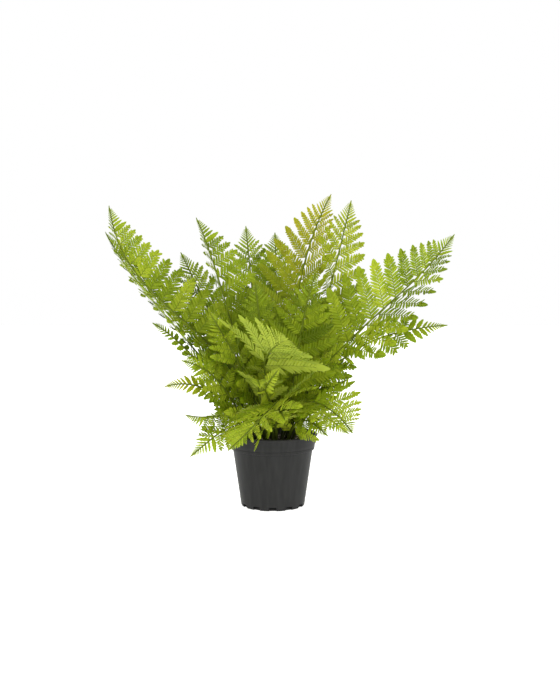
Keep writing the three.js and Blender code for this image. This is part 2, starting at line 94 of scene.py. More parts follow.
def band(rings: int, count: int, first: int = 0) -> list[tuple[int, int, int, int]]:
    """The faces that join closed rings of points, each ring to the next.

    Args:
        rings: how many rings follow one another.
        count: points of each ring.
        first: number of the first ring's first point.

    Returns:
        One face for each pair of neighbours, ring by ring.
    """
    return [
        (low + i, low + count + i, low + count + (i + 1) % count, low + (i + 1) % count)
        for low in range(first, first + (rings - 1) * count, count)
        for i in range(count)
    ]


def feed(node: bpy.types.Node, inputs: Inputs) -> None:
    """Sets or links the inputs of a node.

    Args:
        node: the node.
        inputs: by input name or number, either a value or the output socket to link from.
    """
    for name, value in inputs.items():
        if isinstance(value, bpy.types.NodeSocket):
            node.id_data.links.new(value, node.inputs[name])
        else:
            node.inputs[name].default_value = value


def add_node(
    tree: bpy.types.NodeTree,
    kind: str,
    inputs: Inputs | None = None,
    output: str | int = 0,
    stops: Stops = (),
    **settings: object,
) -> bpy.types.NodeSocket:
    """Adds a node to a tree, with its settings and links.

    Args:
        tree: the node tree that gets the node.
        kind: the node's Blender type, after ShaderNode.
        inputs: by input name or number, either a value or the output socket to link from.
        output: name or number of the output that is wanted.
        stops: the position and hex colour of each stop, where the node holds a colour ramp.
        settings: values of the node's own properties.

    Returns:
        The wanted output of the new node.
    """
    node = tree.nodes.new(f"ShaderNode{kind}")
    for name, value in settings.items():
        setattr(node, name, value)
    if stops:
        elements = node.color_ramp.elements
        while len(elements) < len(stops):
            elements.new(0.5)
        for element, (position, colour) in zip(elements, stops):
            element.position = position
            element.color = linear(colour)
    feed(node, inputs or {})
    return node.outputs[output]


def object_from(name: str, data: bpy.types.ID) -> bpy.types.Object:
    """Links a new object that holds a mesh, a lamp or a camera, and returns it."""
    made = bpy.data.objects.new(name, data)
    bpy.context.scene.collection.objects.link(made)
    return made


def smooth(mesh: bpy.types.Mesh, sharp_from: float) -> None:
    """Shades a mesh smooth, except across edges that turn by more than some degrees."""
    mesh.shade_smooth()
    mesh.set_sharp_from_angle(angle=math.radians(sharp_from))


def stand_for(piece: bpy.types.Object, node: str) -> bpy.types.Object:
    """Lets a piece ride on the plant and stand for a solid.

    Args:
        piece: the finished piece.
        node: the solid that it stands for.

    Returns:
        The piece.
    """
    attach(piece, BODY)
    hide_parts(node)
    return piece


# ---- finishes ----


class Finish(ABC):
    """What a piece is made of and how its surface was made."""

    name: str

    @abstractmethod
    def surface(self, add: AddNode) -> Inputs:
        """Adds the finish's nodes, and returns what goes into each input of the surface shader."""

    def make(self) -> bpy.types.Material:
        """Builds the node material.

        Returns:
            The material, named for the finish.
        """
        material = bpy.data.materials.new(self.name)
        material.use_nodes = True
        tree = material.node_tree
        feed(tree.nodes["Principled BSDF"], self.surface(partial(add_node, tree)))
        return material


class LeafFace(Enum):
    """The two faces of a blade, which differ in colour and gloss."""

    UPPER = "upper"
    UNDER = "under"


@dataclass(frozen=True)
class FernBlade(Finish):
    """Living fern blade: thin leathery tissue with a waxy skin, grown."""

    # The wax gives a soft broad gloss, the tissue lets some light through, and each blade has its own green,
    # which for the low fronds also carries painted light.
    name: str = "fern_blade_upper"
    face: LeafFace = LeafFace.UPPER
    deep: str = "#485903"
    grown: str = "#74860c"
    fresh: str = "#9ba826"
    yellow: str = "#b0a01c"
    yellow_least: float = 0.45  # share of the yellow that reaches even the greenest spot
    rib: str = "#a3b24a"
    under: str = "#8f9d58"
    under_share: float = 0.22  # how far the underside is paler
    blotch: float = 9  # mm
    blotch_depth: float = 0.7
    vein_spacing: float = 1.1  # mm between side veins
    vein_slant: float = 0.8  # how far a vein runs forward, per millimetre away from the rib
    vein_dark: float = 0.16
    vein_depth: float = 0.06  # how far a vein stands out from the blade beside it
    rib_half_width: float = 0.32  # mm
    rib_pale: float = 0.55
    pore: float = 0.5  # mm, drawn coarser than real pores so that they show
    relief: float = 0.08  # mm
    roughness: float = 0.5
    unevenness: float = 0.16  # of the roughness
    gloss: float = 0.12  # specular level of the thin wax
    see_through: float = 0.12  # how much light scatters inside the blade
    scatter: tuple[float, float, float] = (0.5, 1.0, 0.12)  # mm that red, green and blue light run there

    def surface(self, add: AddNode) -> Inputs:
        """Draws the green, the yellowed tips, the rib, the veins and the pores.

        Args:
            add: adds a node to the material.

        Returns:
            What goes into each input of the surface shader.
        """
        tone, yellowing, across, along = (
            add("Attribute", output="Fac", attribute_name=field_name) for field_name in FrondMesh.FIELDS
        )
        place = add("TexCoord", output="Object")
        blotches = add("TexNoise", {"Vector": place, "Scale": 1 / (self.blotch * MM), "Detail": 4.0})
        pores = add("TexNoise", {"Vector": place, "Scale": 1 / (self.pore * MM), "Detail": 2.0})
        off_middle = add("Math", {0: blotches, 1: 0.5}, operation="SUBTRACT")
        depth = add(
            "Math", {0: off_middle, 1: self.blotch_depth, 2: tone}, operation="MULTIPLY_ADD", use_clamp=True
        )
        green = add("ValToRGB", {0: depth}, stops=((0.0, self.deep), (0.5, self.grown), (1.0, self.fresh)))
        patchy = add("Math", {0: blotches, 1: self.yellow_least}, operation="ADD")
        turned = add("Math", {0: yellowing, 1: patchy}, operation="MULTIPLY", use_clamp=True)
        aged = add("Mix", {0: turned, 6: green, 7: linear(self.yellow)}, output=2, data_type="RGBA")
        from_rib = add("Math", {0: across}, operation="ABSOLUTE")
        on_rib = add(
            "MapRange",
            {"Value": from_rib, "From Min": self.rib_half_width, "From Max": 0.0, "To Max": self.rib_pale},
            interpolation_type="SMOOTHSTEP",
        )
        ribbed = add("Mix", {0: on_rib, 6: aged, 7: linear(self.rib)}, output=2, data_type="RGBA")
        # The side veins slant forward: along one, the lengths along and across keep in step.
        vein_phase = add("Math", {0: from_rib, 1: -self.vein_slant, 2: along}, operation="MULTIPLY_ADD")
        turns = add("Math", {0: vein_phase, 1: math.tau / self.vein_spacing}, operation="MULTIPLY")
        wave = add("Math", {0: turns}, operation="SINE")
        shade = add("Math", {0: wave, 1: self.vein_depth, 2: 0.5}, operation="MULTIPLY_ADD")
        dark = add("Mix", {0: self.vein_dark, 6: ribbed, 7: linear(self.deep)}, output=2, data_type="RGBA")
        colour = add("Mix", {0: shade, 6: ribbed, 7: dark}, output=2, data_type="RGBA")
        if self.face is LeafFace.UNDER:
            colour = add(
                "Mix", {0: self.under_share, 6: colour, 7: linear(self.under)}, output=2, data_type="RGBA"
            )
        relief = add("Math", {0: wave, 1: pores}, operation="ADD")
        smoothest = self.roughness - self.unevenness / 2
        dull = add("Math", {0: blotches, 1: self.unevenness, 2: smoothest}, operation="MULTIPLY_ADD")
        return {
            "Base Color": colour,
            "Roughness": dull,
            "Normal": add("Bump", {"Strength": 0.25, "Distance": self.relief * MM, "Height": relief}),
            "Subsurface Weight": self.see_through,
            "Subsurface Radius": self.scatter,
            "Subsurface Scale": MM,
            "Specular IOR Level": self.gloss,
            "IOR": 1.42,
        }


@dataclass(frozen=True)
class FernStem(Finish):
    """Living fern stalk: smooth green rind that turns brown towards the soil, grown."""

    # The rind is satin, with fine grooves along it and darker, browner flecks low down.
    name: str = "fern_stem"
    green: str = "#5f6e14"
    dark: str = "#2c340c"
    brown: str = "#30240e"
    fleck: float = 0.35  # how far the flecks shift it between brown and green
    groove: float = 0.7  # mm between grooves round the stalk
    groove_depth: float = 0.15  # mm
    stretch: float = 0.12  # the grooves run upright, so their pattern is drawn out that way
    roughness: float = 0.5
    gloss: float = 0.15  # specular level of the grooved rind

    def surface(self, add: AddNode) -> Inputs:
        """Draws the grooved rind, brown at its foot.

        Args:
            add: adds a node to the material.

        Returns:
            What goes into each input of the surface shader.
        """
        age = add("Attribute", output="Fac", attribute_name="tone")
        place = add("TexCoord", output="Object")
        upright = add("Mapping", {"Vector": place, "Scale": (1.0, 1.0, self.stretch)})
        grooves = add("TexNoise", {"Vector": upright, "Scale": 1 / (self.groove * MM), "Detail": 3.0})
        flecked = add("Math", {0: grooves, 1: self.fleck, 2: age}, operation="MULTIPLY_ADD", use_clamp=True)
        return {
            "Base Color": add(
                "ValToRGB", {0: flecked}, stops=((0.0, self.brown), (0.35, self.dark), (1.0, self.green))
            ),
            "Normal": add("Bump", {"Strength": 0.4, "Distance": self.groove_depth * MM, "Height": grooves}),
            "Roughness": self.roughness,
            "Specular IOR Level": self.gloss,
        }


@dataclass(frozen=True)
class MouldedPolypropylene(Finish):
    """Black polypropylene, injection-moulded in a lightly textured tool."""

    # The textured tool gives dark grey walls a broad satin sheen, and the melt leaves faint lines up them.
    name: str = "moulded_polypropylene"
    colour: str = "#292929"
    scuffed: str = "#2f2f2f"
    dust: str = "#3a3836"
    dust_most: str = "#2a2a2a"  # how much dust lies where it is thickest, as a grey
    soiled: float = 14  # mm across a smear of dust
    grain: float = 0.8  # mm, drawn coarser than the real 0.3 mm grain so that it shows
    flow_line: float = 5.0  # mm between flow lines round the wall
    stretch: float = 0.05  # the flow lines run upright, so their pattern is drawn out that way
    relief: float = 0.12  # mm
    grain_relief: float = 0.5  # height of the grain, as a share of the flow lines'
    grain_dull: float = 0.06  # how much rougher the grain makes it
    roughness: float = 0.42
    unevenness: float = 0.08  # of the roughness, along the flow lines
    gloss: float = 0.06  # specular level of the textured skin

    def surface(self, add: AddNode) -> Inputs:
        """Draws the flow lines, the grain and the dust.

        Args:
            add: adds a node to the material.

        Returns:
            What goes into each input of the surface shader.
        """
        place = add("TexCoord", output="Object")
        upright = add("Mapping", {"Vector": place, "Scale": (1.0, 1.0, self.stretch)})
        flow = add("TexNoise", {"Vector": upright, "Scale": 1 / (self.flow_line * MM), "Detail": 3.0})
        grain = add("TexNoise", {"Vector": place, "Scale": 1 / (self.grain * MM), "Detail": 2.0})
        smears = add("TexNoise", {"Vector": place, "Scale": 1 / (self.soiled * MM), "Detail": 6.0})
        body = add("ValToRGB", {0: flow}, stops=((0.35, self.colour), (0.7, self.scuffed)))
        dusty = add("ValToRGB", {0: smears}, stops=((0.56, "#000000"), (0.75, self.dust_most)))
        smoothest = self.roughness - self.unevenness / 2
        dull = add("Math", {0: flow, 1: self.unevenness, 2: smoothest}, operation="MULTIPLY_ADD")
        relief = add("Math", {0: grain, 1: self.grain_relief, 2: flow}, operation="MULTIPLY_ADD")
        return {
            "Base Color": add("Mix", {0: dusty, 6: body, 7: linear(self.dust)}, output=2, data_type="RGBA"),
            "Roughness": add("Math", {0: grain, 1: self.grain_dull, 2: dull}, operation="MULTIPLY_ADD"),
            "Normal": add("Bump", {"Strength": 0.18, "Distance": self.relief * MM, "Height": relief}),
            "Specular IOR Level": self.gloss,
            "IOR": 1.49,
        }


@dataclass(frozen=True)
class MoistPeat(Finish):
    """Moist peat mix, loose: crumbs of peat and bark."""

    # Its dark brown crumbs take up light, with damp patches that are darker still.
    name: str = "moist_peat"
    wet: str = "#1c130c"
    peat: str = "#37271a"
    bark: str = "#5b412a"
    crumb: float = 2.2  # mm
    crumb_height: float = 0.8  # mm
    patch: float = 12  # mm
    crumb_share: float = 0.5  # how much of the colour goes by the crumb
    patch_share: float = 0.6  # and how much by the patch
    roughness: float = 0.92

    def surface(self, add: AddNode) -> Inputs:
        """Draws the crumbs and the damp patches.

        Args:
            add: adds a node to the material.

        Returns:
            What goes into each input of the surface shader.
        """
        place = add("TexCoord", output="Object")
        between = add("TexVoronoi", {"Vector": place, "Scale": 1 / (self.crumb * MM)}, "Distance")
        patches = add("TexNoise", {"Vector": place, "Scale": 1 / (self.patch * MM), "Detail": 6.0})
        each = add("SeparateColor", {0: between.node.outputs["Color"]})
        damp = add("Math", {0: patches, 1: self.patch_share}, operation="MULTIPLY")
        mixed = add("Math", {0: each, 1: self.crumb_share, 2: damp}, operation="MULTIPLY_ADD")
        return {
            "Base Color": add(
                "ValToRGB", {0: mixed}, stops=((0.25, self.wet), (0.6, self.peat), (0.95, self.bark))
            ),
            "Normal": add("Bump", {"Strength": 0.9, "Distance": self.crumb_height * MM, "Height": between}),
            "Roughness": self.roughness,
        }


@dataclass(frozen=True)
class Perlite(Finish):
    """Perlite: volcanic glass puffed by heat into grains."""

    # The grains are off-white, stained by the peat, with a rough pitted skin.
    name: str = "perlite"
    light: str = "#cfcabd"
    stained: str = "#8a7d68"
    pit: float = 0.6  # mm
    pit_depth: float = 0.3  # mm
    roughness: float = 0.85

    def surface(self, add: AddNode) -> Inputs:
        """Draws the pitted skin.

        Args:
            add: adds a node to the material.

        Returns:
            What goes into each input of the surface shader.
        """
        place = add("TexCoord", output="Object")
        pits = add("TexNoise", {"Vector": place, "Scale": 1 / (self.pit * MM), "Detail": 3.0})
        return {
            "Base Color": add("ValToRGB", {0: pits}, stops=((0.35, self.stained), (0.6, self.light))),
            "Normal": add("Bump", {"Strength": 0.8, "Distance": self.pit_depth * MM, "Height": pits}),
            "Roughness": self.roughness,
        }


@dataclass(frozen=True)
class OpalAcrylic(Finish):
    """Opal acrylic, cast: the top of a light table."""

    # It glows an even white from below, with a faint satin skin.
    name: str = "opal_acrylic"
    colour: str = "#f7f7f6"
    glow: float = 0.75
    ripple: float = 40.0  # mm, the slight unevenness of a cast sheet
    ripple_height: float = 0.2  # mm
    roughness: float = 0.7

    def surface(self, add: AddNode) -> Inputs:
        """Draws the faint ripple and the glow.

        Args:
            add: adds a node to the material.

        Returns:
            What goes into each input of the surface shader.
        """
        place = add("TexCoord", output="Object")
        ripple = add("TexNoise", {"Vector": place, "Scale": 1 / (self.ripple * MM)})
        return {
            "Base Color": linear(self.colour),
            "Roughness": self.roughness,
            "Normal": add(
                "Bump", {"Strength": 0.05, "Distance": self.ripple_height * MM, "Height": ripple}
            ),
            "Emission Color": linear(self.colour),
            "Emission Strength": self.glow,
        }


# ---- pot ----


@dataclass
class NurseryPot:
    """The tapered plastic pot, with a flared collar, a rolled edge and drain slots in its foot. In mm."""

    ALONG = 0.9  # cosine above which an edge counts as one that runs outward

    height: float = 97
    rim_radius: float = 60
    bead_height: float = 3
    bead_depth: float = 0.9
    collar_height: float = 21
    collar_foot_radius: float = 55.8
    body_top_radius: float = 53.6
    foot_radius: float = 42.5
    wall: float = 1.6
    base: float = 2.4
    groove: tuple[float, float] = (3.4, 4.9)  # from and to, above the collar's lower edge
    groove_depth: float = 0.35
    sides: int = 180
    drain_count: int = 12
    drain_width: float = 10
    drain_height: float = 4.7
    drain_reach: float = 7
    drain_rounding: float = 0.9
    drain_first_angle: float = -120
    sharp_from: float = 32  # degrees

    @property
    def collar_foot(self) -> float:
        """Height of the collar's lower edge."""
        return self.height - self.collar_height

    def body_radius(self, height: float) -> float:
        """Outside radius of the tapered body at a height."""
        return lerp(self.foot_radius, self.body_top_radius, height / self.collar_foot)

    def collar_radius(self, height: float) -> float:
        """Outside radius of the collar at a height."""
        share = (height - self.collar_foot) / self.collar_height
        return lerp(self.collar_foot_radius, self.rim_radius - self.bead_depth, share)

    def profile(self) -> list[tuple[float, float]]:
        """The section of the wall, with its edges rounded by a few tenths of a millimetre.

        Returns:
            Radius and height of each corner, from the axis under the base, up the outside, down the inside.
        """
        foot, bead_foot = self.collar_foot, self.height - self.bead_height
        inside = foot + self.wall
        low, high = (foot + height for height in self.groove)
        bead = self.bead_height / 2
        inner_collar = self.collar_radius(inside) - self.wall
        inner_body = self.body_radius(inside) - self.wall
        base_corner = [
            (0.0, 0.0),
            (self.foot_radius - 1.4, 0.0),
            (self.foot_radius - 0.6, 0.15),
            (self.foot_radius - 0.1, 0.6),
            (self.body_radius(1.6), 1.6),
        ]
        body = [
            (self.body_radius(30), 30.0),
            (self.body_radius(foot - 0.8), foot - 0.8),
            (self.body_radius(foot) + 0.1, foot - 0.2),
            (self.body_radius(foot) + 0.5, foot),
        ]
        collar = [
            (self.collar_foot_radius - 0.6, foot),
            (self.collar_foot_radius - 0.15, foot + 0.2),
            (self.collar_radius(foot + 0.8), foot + 0.8),
            (self.collar_radius(low), low),
            (self.collar_radius(low + 0.4) - self.groove_depth, low + 0.4),
            (self.collar_radius(high - 0.5) - self.groove_depth, high - 0.5),
            (self.collar_radius(high), high),
            (self.collar_radius(foot + 9), foot + 9),
            (self.collar_radius(bead_foot - 0.5), bead_foot - 0.5),
            (self.collar_radius(bead_foot), bead_foot - 0.05),
        ]
        rolled = [
            (self.rim_radius - bead + bead * math.cos(angle), self.height - bead + bead * math.sin(angle))
            for angle in np.linspace(-0.35 * math.pi, 0.5 * math.pi, 9)
        ]
        inner = [
            (self.collar_radius(self.height) - self.wall + 0.4, self.height - 0.1),
            (self.collar_radius(self.height) - self.wall, self.height - 0.6),
            (inner_collar, inside + 0.3),
            (inner_collar - 0.4, inside),
            (inner_body + 0.3, inside),
            (inner_body, inside - 0.4),
            (self.body_radius(self.base + 2) - self.wall, self.base + 2.0),
            (self.body_radius(self.base) - self.wall - 1.5, self.base),
            (0.0, self.base),
        ]
        return base_corner + body + collar + rolled + inner

    def turned(self) -> bpy.types.Mesh:
        """Turns the section round the axis.

        Returns:
            The closed mesh of the pot before its slots are cut.
        """
        turn = bmesh.new()
        angles = math.tau * np.arange(self.sides) / self.sides
        rings = [
            [
                turn.verts.new((radius * MM * math.cos(angle), radius * MM * math.sin(angle), height * MM))
                for angle in (angles if radius > 0 else angles[:1])
            ]
            for radius, height in self.profile()
        ]
        for low, high in zip(rings, rings[1:]):
            for i in range(self.sides):
                j = (i + 1) % self.sides
                corners = [low[i % len(low)], low[j % len(low)], high[j % len(high)], high[i % len(high)]]
                turn.faces.new(list(dict.fromkeys(corners)))
        mesh = bpy.data.meshes.new("pot_turned")
        turn.to_mesh(mesh)
        turn.free()
        return mesh

    def slot_cutter(self) -> bpy.types.Object:
        """Makes the round-cornered blocks that cut the drain slots.

        Returns:
            One object that holds them all.
        """
        cutter = bmesh.new()
        size = (self.drain_reach * MM, self.drain_width * MM, 2 * self.drain_height * MM)
        for i in range(self.drain_count):
            turn = Matrix.Rotation(math.radians(self.drain_first_angle + 360 * i / self.drain_count), 4, "Z")
            place = turn @ Matrix.Translation((self.foot_radius * MM, 0, 0)) @ Matrix.Diagonal((*size, 1))
            made = bmesh.ops.create_cube(cutter, size=1, matrix=place)
            outward = turn.to_3x3() @ Vector((1, 0, 0))
            edges = dict.fromkeys(
                edge
                for vertex in made["verts"]
                for edge in vertex.link_edges
                if abs((edge.verts[0].co - edge.verts[1].co).normalized().dot(outward)) > self.ALONG
            )
            bmesh.ops.bevel(
                cutter,
                geom=list(edges),
                offset=self.drain_rounding * MM,
                segments=3,
                profile=0.5,
                affect="EDGES",
            )
        mesh = bpy.data.meshes.new("pot_slots")
        cutter.to_mesh(mesh)
        cutter.free()
        return object_from("pot_slots", mesh)

    def build(self, plastic: bpy.types.Material) -> bpy.types.Object:
        """Builds the pot.

        Args:
            plastic: its material.

        Returns:
            The finished pot.
        """
        blank = object_from("pot_blank", self.turned())
        cutter = self.slot_cutter()
        cut = blank.modifiers.new("slots", "BOOLEAN")
        cut.operation = "DIFFERENCE"
        cut.solver = "EXACT"
        cut.object = cutter
        depsgraph = bpy.context.evaluated_depsgraph_get()
        mesh = bpy.data.meshes.new_from_object(blank.evaluated_get(depsgraph))
        for spent in (blank, cutter):
            bpy.data.objects.remove(spent)
        mesh.materials.clear()
        mesh.materials.append(plastic)
        smooth(mesh, self.sharp_from)
        return stand_for(object_from("nursery_pot", mesh), "pot")


# ---- potting mix ----


@dataclass(frozen=True)
class Loose:
    """Loose bits of one kind that lie on the mix: how many, and their least and greatest sizes, in mm."""

    count: int
    length: tuple[float, float]
    width: tuple[float, float]
    depth: tuple[float, float]
    white: bool = False


@dataclass
class PottingMix:
    """The mounded potting mix: an uneven surface with crumbs, bark chips and perlite on it. Sizes in mm."""

    pot: NurseryPot
    level: float = 87
    mound: float = 3
    gap: float = 0.9
    unevenness: float = 0.9
    wave: tuple[float, float] = (4, 16)  # least and greatest length of the waves that make it uneven
    waves: int = 24
    wave_phase: float = 9  # radians, per unit of a wave's height
    calm: float = 5  # what the sum of the waves is divided by
    depth: float = 7  # from the level of the mix down to the underside of the bed
    sunk: float = 1  # how far the bed's surface lies below the solid's, so that what lies on it stays inside
    bits_sunk: float = 0.7
    rings: int = 34
    sectors: int = 110
    crumbs: Loose = Loose(1300, (1.2, 2.8), (0.9, 2.0), (0.7, 1.6))
    chips: Loose = Loose(150, (4.0, 8.5), (2.0, 4.0), (0.9, 1.7))
    grains: Loose = Loose(70, (1.6, 3.4), (1.4, 3.0), (1.3, 2.4), white=True)
    clear_of_wall: float = 4  # the bits lie this far from the pot's wall, and the waves die away over it
    lump_layers: tuple[tuple[float, float], ...] = ((-1.0, 0.45), (-0.4, 0.95), (0.35, 1.0), (1.0, 0.5))
    lump_corners: int = 6
    lump_roughness: float = 0.24
    lump_tilt: float = 0.6  # radians
    sharp_from: float = 50  # degrees
    seed: int = 11

    def surface(self, radius: float) -> float:
        """Height of the mound at a distance from the middle."""
        return self.level + self.mound * (1 - (radius / self.pot.collar_foot_radius) ** 2)

    def wall_radius(self, height: float) -> float:
        """Radius at which the mix meets the inside of the collar at a height."""
        return self.pot.collar_radius(height) - self.pot.wall - self.gap

    def bed(self, draw: np.random.Generator) -> tuple[list, list]:
        """The uneven surface and the closed body under it.

        Args:
            draw: the seeded random draws.

        Returns:
            Points and faces, in mm.
        """
        waves = draw.uniform(-1, 1, (self.waves, 3))
        lengths = draw.uniform(*self.wave, self.waves)

        def rough(x: float, y: float) -> float:
            """How far the surface stands above its mean.

            Args:
                x: to the right of the middle.
                y: behind the middle.

            Returns:
                The height in mm, less than nothing in a hollow.
            """
            turns = [
                w[2] * math.sin((w[0] * x + w[1] * y) * math.tau / length + self.wave_phase * w[2])
                for w, length in zip(waves, lengths)
            ]
            return self.unevenness * sum(turns) / self.calm

        brim = self.wall_radius(self.level)
        rounds = [(math.cos(math.tau * i / self.sectors), math.sin(math.tau * i / self.sectors))
                  for i in range(self.sectors)]
        points = [(0.0, 0.0, self.surface(0) - self.sunk)]
        for ring in range(1, self.rings + 1):
            radius = brim * ring / self.rings
            edge = min(1.0, (brim - radius) / self.clear_of_wall)
            for cos, sin in rounds:
                x, y = radius * cos, radius * sin
                points.append((x, y, self.surface(radius) - self.sunk + edge * rough(x, y)))
        foot = self.level - self.depth
        radius = self.wall_radius(foot)
        skirt = len(points)
        points += [(radius * cos, radius * sin, foot) for cos, sin in rounds]
        faces = [(0, 1 + i, 1 + (i + 1) % self.sectors) for i in range(self.sectors)]
        faces += band(self.rings + 1, self.sectors, 1)
        faces.append(tuple(reversed(range(skirt, skirt + self.sectors))))
        return points, faces

    def lump(self, draw: np.random.Generator, size: tuple[float, float, float]) -> tuple[np.ndarray, list]:
        """An irregular crumb.

        Args:
            draw: the seeded random draws.
            size: its length, width and thickness.

        Returns:
            Its points round the origin, in mm, and its faces.
        """
        count = self.lump_corners
        points = [
            (
                math.cos(math.tau * (i + 0.5 * row) / count) * spread,
                math.sin(math.tau * (i + 0.5 * row) / count) * spread,
                height,
            )
            for row, (height, spread) in enumerate(self.lump_layers)
            for i in range(count)
        ]
        uneven = 1 + draw.uniform(-self.lump_roughness, self.lump_roughness, (len(points), 1))
        shaped = np.array(points) * uneven * np.array(size) / 2
        turn = Matrix.Rotation(draw.uniform(0, math.tau), 3, "Z")
        turn = turn @ Matrix.Rotation(draw.uniform(-self.lump_tilt, self.lump_tilt), 3, "X")
        sides = [(a, d, c, b) for a, b, c, d in band(len(self.lump_layers), count)]
        ends = [tuple(reversed(range(count))), tuple(range(len(points) - count, len(points)))]
        return shaped @ np.array(turn.transposed()), [ends[0], *sides, ends[1]]

    def build(self, peat: bpy.types.Material, perlite: bpy.types.Material) -> bpy.types.Object:
        """Builds the mix.

        Args:
            peat: material of the bed, its crumbs and its bark.
            perlite: material of the white grains.

        Returns:
            The finished mix.
        """
        draw = np.random.default_rng(self.seed)
        points, faces = self.bed(draw)
        kinds = [0] * len(faces)
        widest = self.wall_radius(self.level) - self.clear_of_wall
        for bits in (self.crumbs, self.chips, self.grains):
            for _ in range(bits.count):
                radius = widest * math.sqrt(draw.uniform(0, 1))
                angle = draw.uniform(0, math.tau)
                size = (draw.uniform(*bits.length), draw.uniform(*bits.width), draw.uniform(*bits.depth))
                lump, lump_faces = self.lump(draw, size)
                height = self.surface(radius) - self.bits_sunk
                place = (radius * math.cos(angle), radius * math.sin(angle), height)
                start = len(points)
                points.extend(map(tuple, lump + np.array(place)))
                faces.extend(tuple(start + i for i in face) for face in lump_faces)
                kinds.extend([int(bits.white)] * len(lump_faces))
        mesh = bpy.data.meshes.new("potting_mix_bed")
        mesh.from_pydata([tuple(MM * c for c in point) for point in points], [], faces)
        mesh.materials.append(peat)
        mesh.materials.append(perlite)
        mesh.polygons.foreach_set("material_index", kinds)
        smooth(mesh, self.sharp_from)
        return stand_for(object_from("potting_mix_bed", mesh), "potting_mix")


# ---- fronds ----


@dataclass(frozen=True)
class Growth:
    """How a frond of this fern grows: the same rules and values as in the solids. Sizes in mm."""

    half_width_low: float = 1.5  # of the rachis
    half_width_tip: float = 0.7
    ridge_low: float = 2.2  # its thickness
    ridge_tip: float = 1.2
    root_depth: float = 12  # below the mix
    step_share: float = 0.2  # from one pair of pinnae to the next, per millimetre from the tip
    step_most: float = 21
    smallest: float = 35  # the solid has no pinnae nearer to the tip than this
    slope: float = 0.62  # how fast the pinnae lengthen away from the tip
    angle_low: float = 60  # degrees between rachis and pinna, at the foot of the blade
    angle_tip: float = 44
    width_share: float = 0.52  # half-width of a pinna per step
    arch: float = 0.12  # fall of its tip, per millimetre
    lifts: tuple[float, ...] = (0, 12, -12, 24, -24, 38, -38, 52, -52)  # degrees that it may be bent by
    shortenings: tuple[float, ...] = (1, 0.8, 0.6)  # shares of its length that it may grow to


@dataclass(frozen=True)
class FrondPlan:
    """Where one frond grows and how. Places in mm, angles in degrees.

    The first seven values and the growth are those of the solid.
    """

    name: str
    root: tuple[float, float]
    path: tuple[tuple[float, float, float], ...]  # a third and two thirds of the way along, and the tip
    blade: float  # length of the leafy part
    reach: float  # length that its pinnae grow towards
    face: tuple[float, float, float]  # the way that its upper side looks
    fold: float  # how far the pinnae rise out of the flat
    green_and_painted_light: float = 0.5  # of its green, from the deep tone to the fresh one; partly the frond's own green, partly painted light, as the low fronds that lie in shade were made lighter
    yellowing: float = 0.0  # how far its tip has turned
    breadth: float = 1.0  # how much fuller its pinnules grow than the others' do
    growth: Growth = Growth()
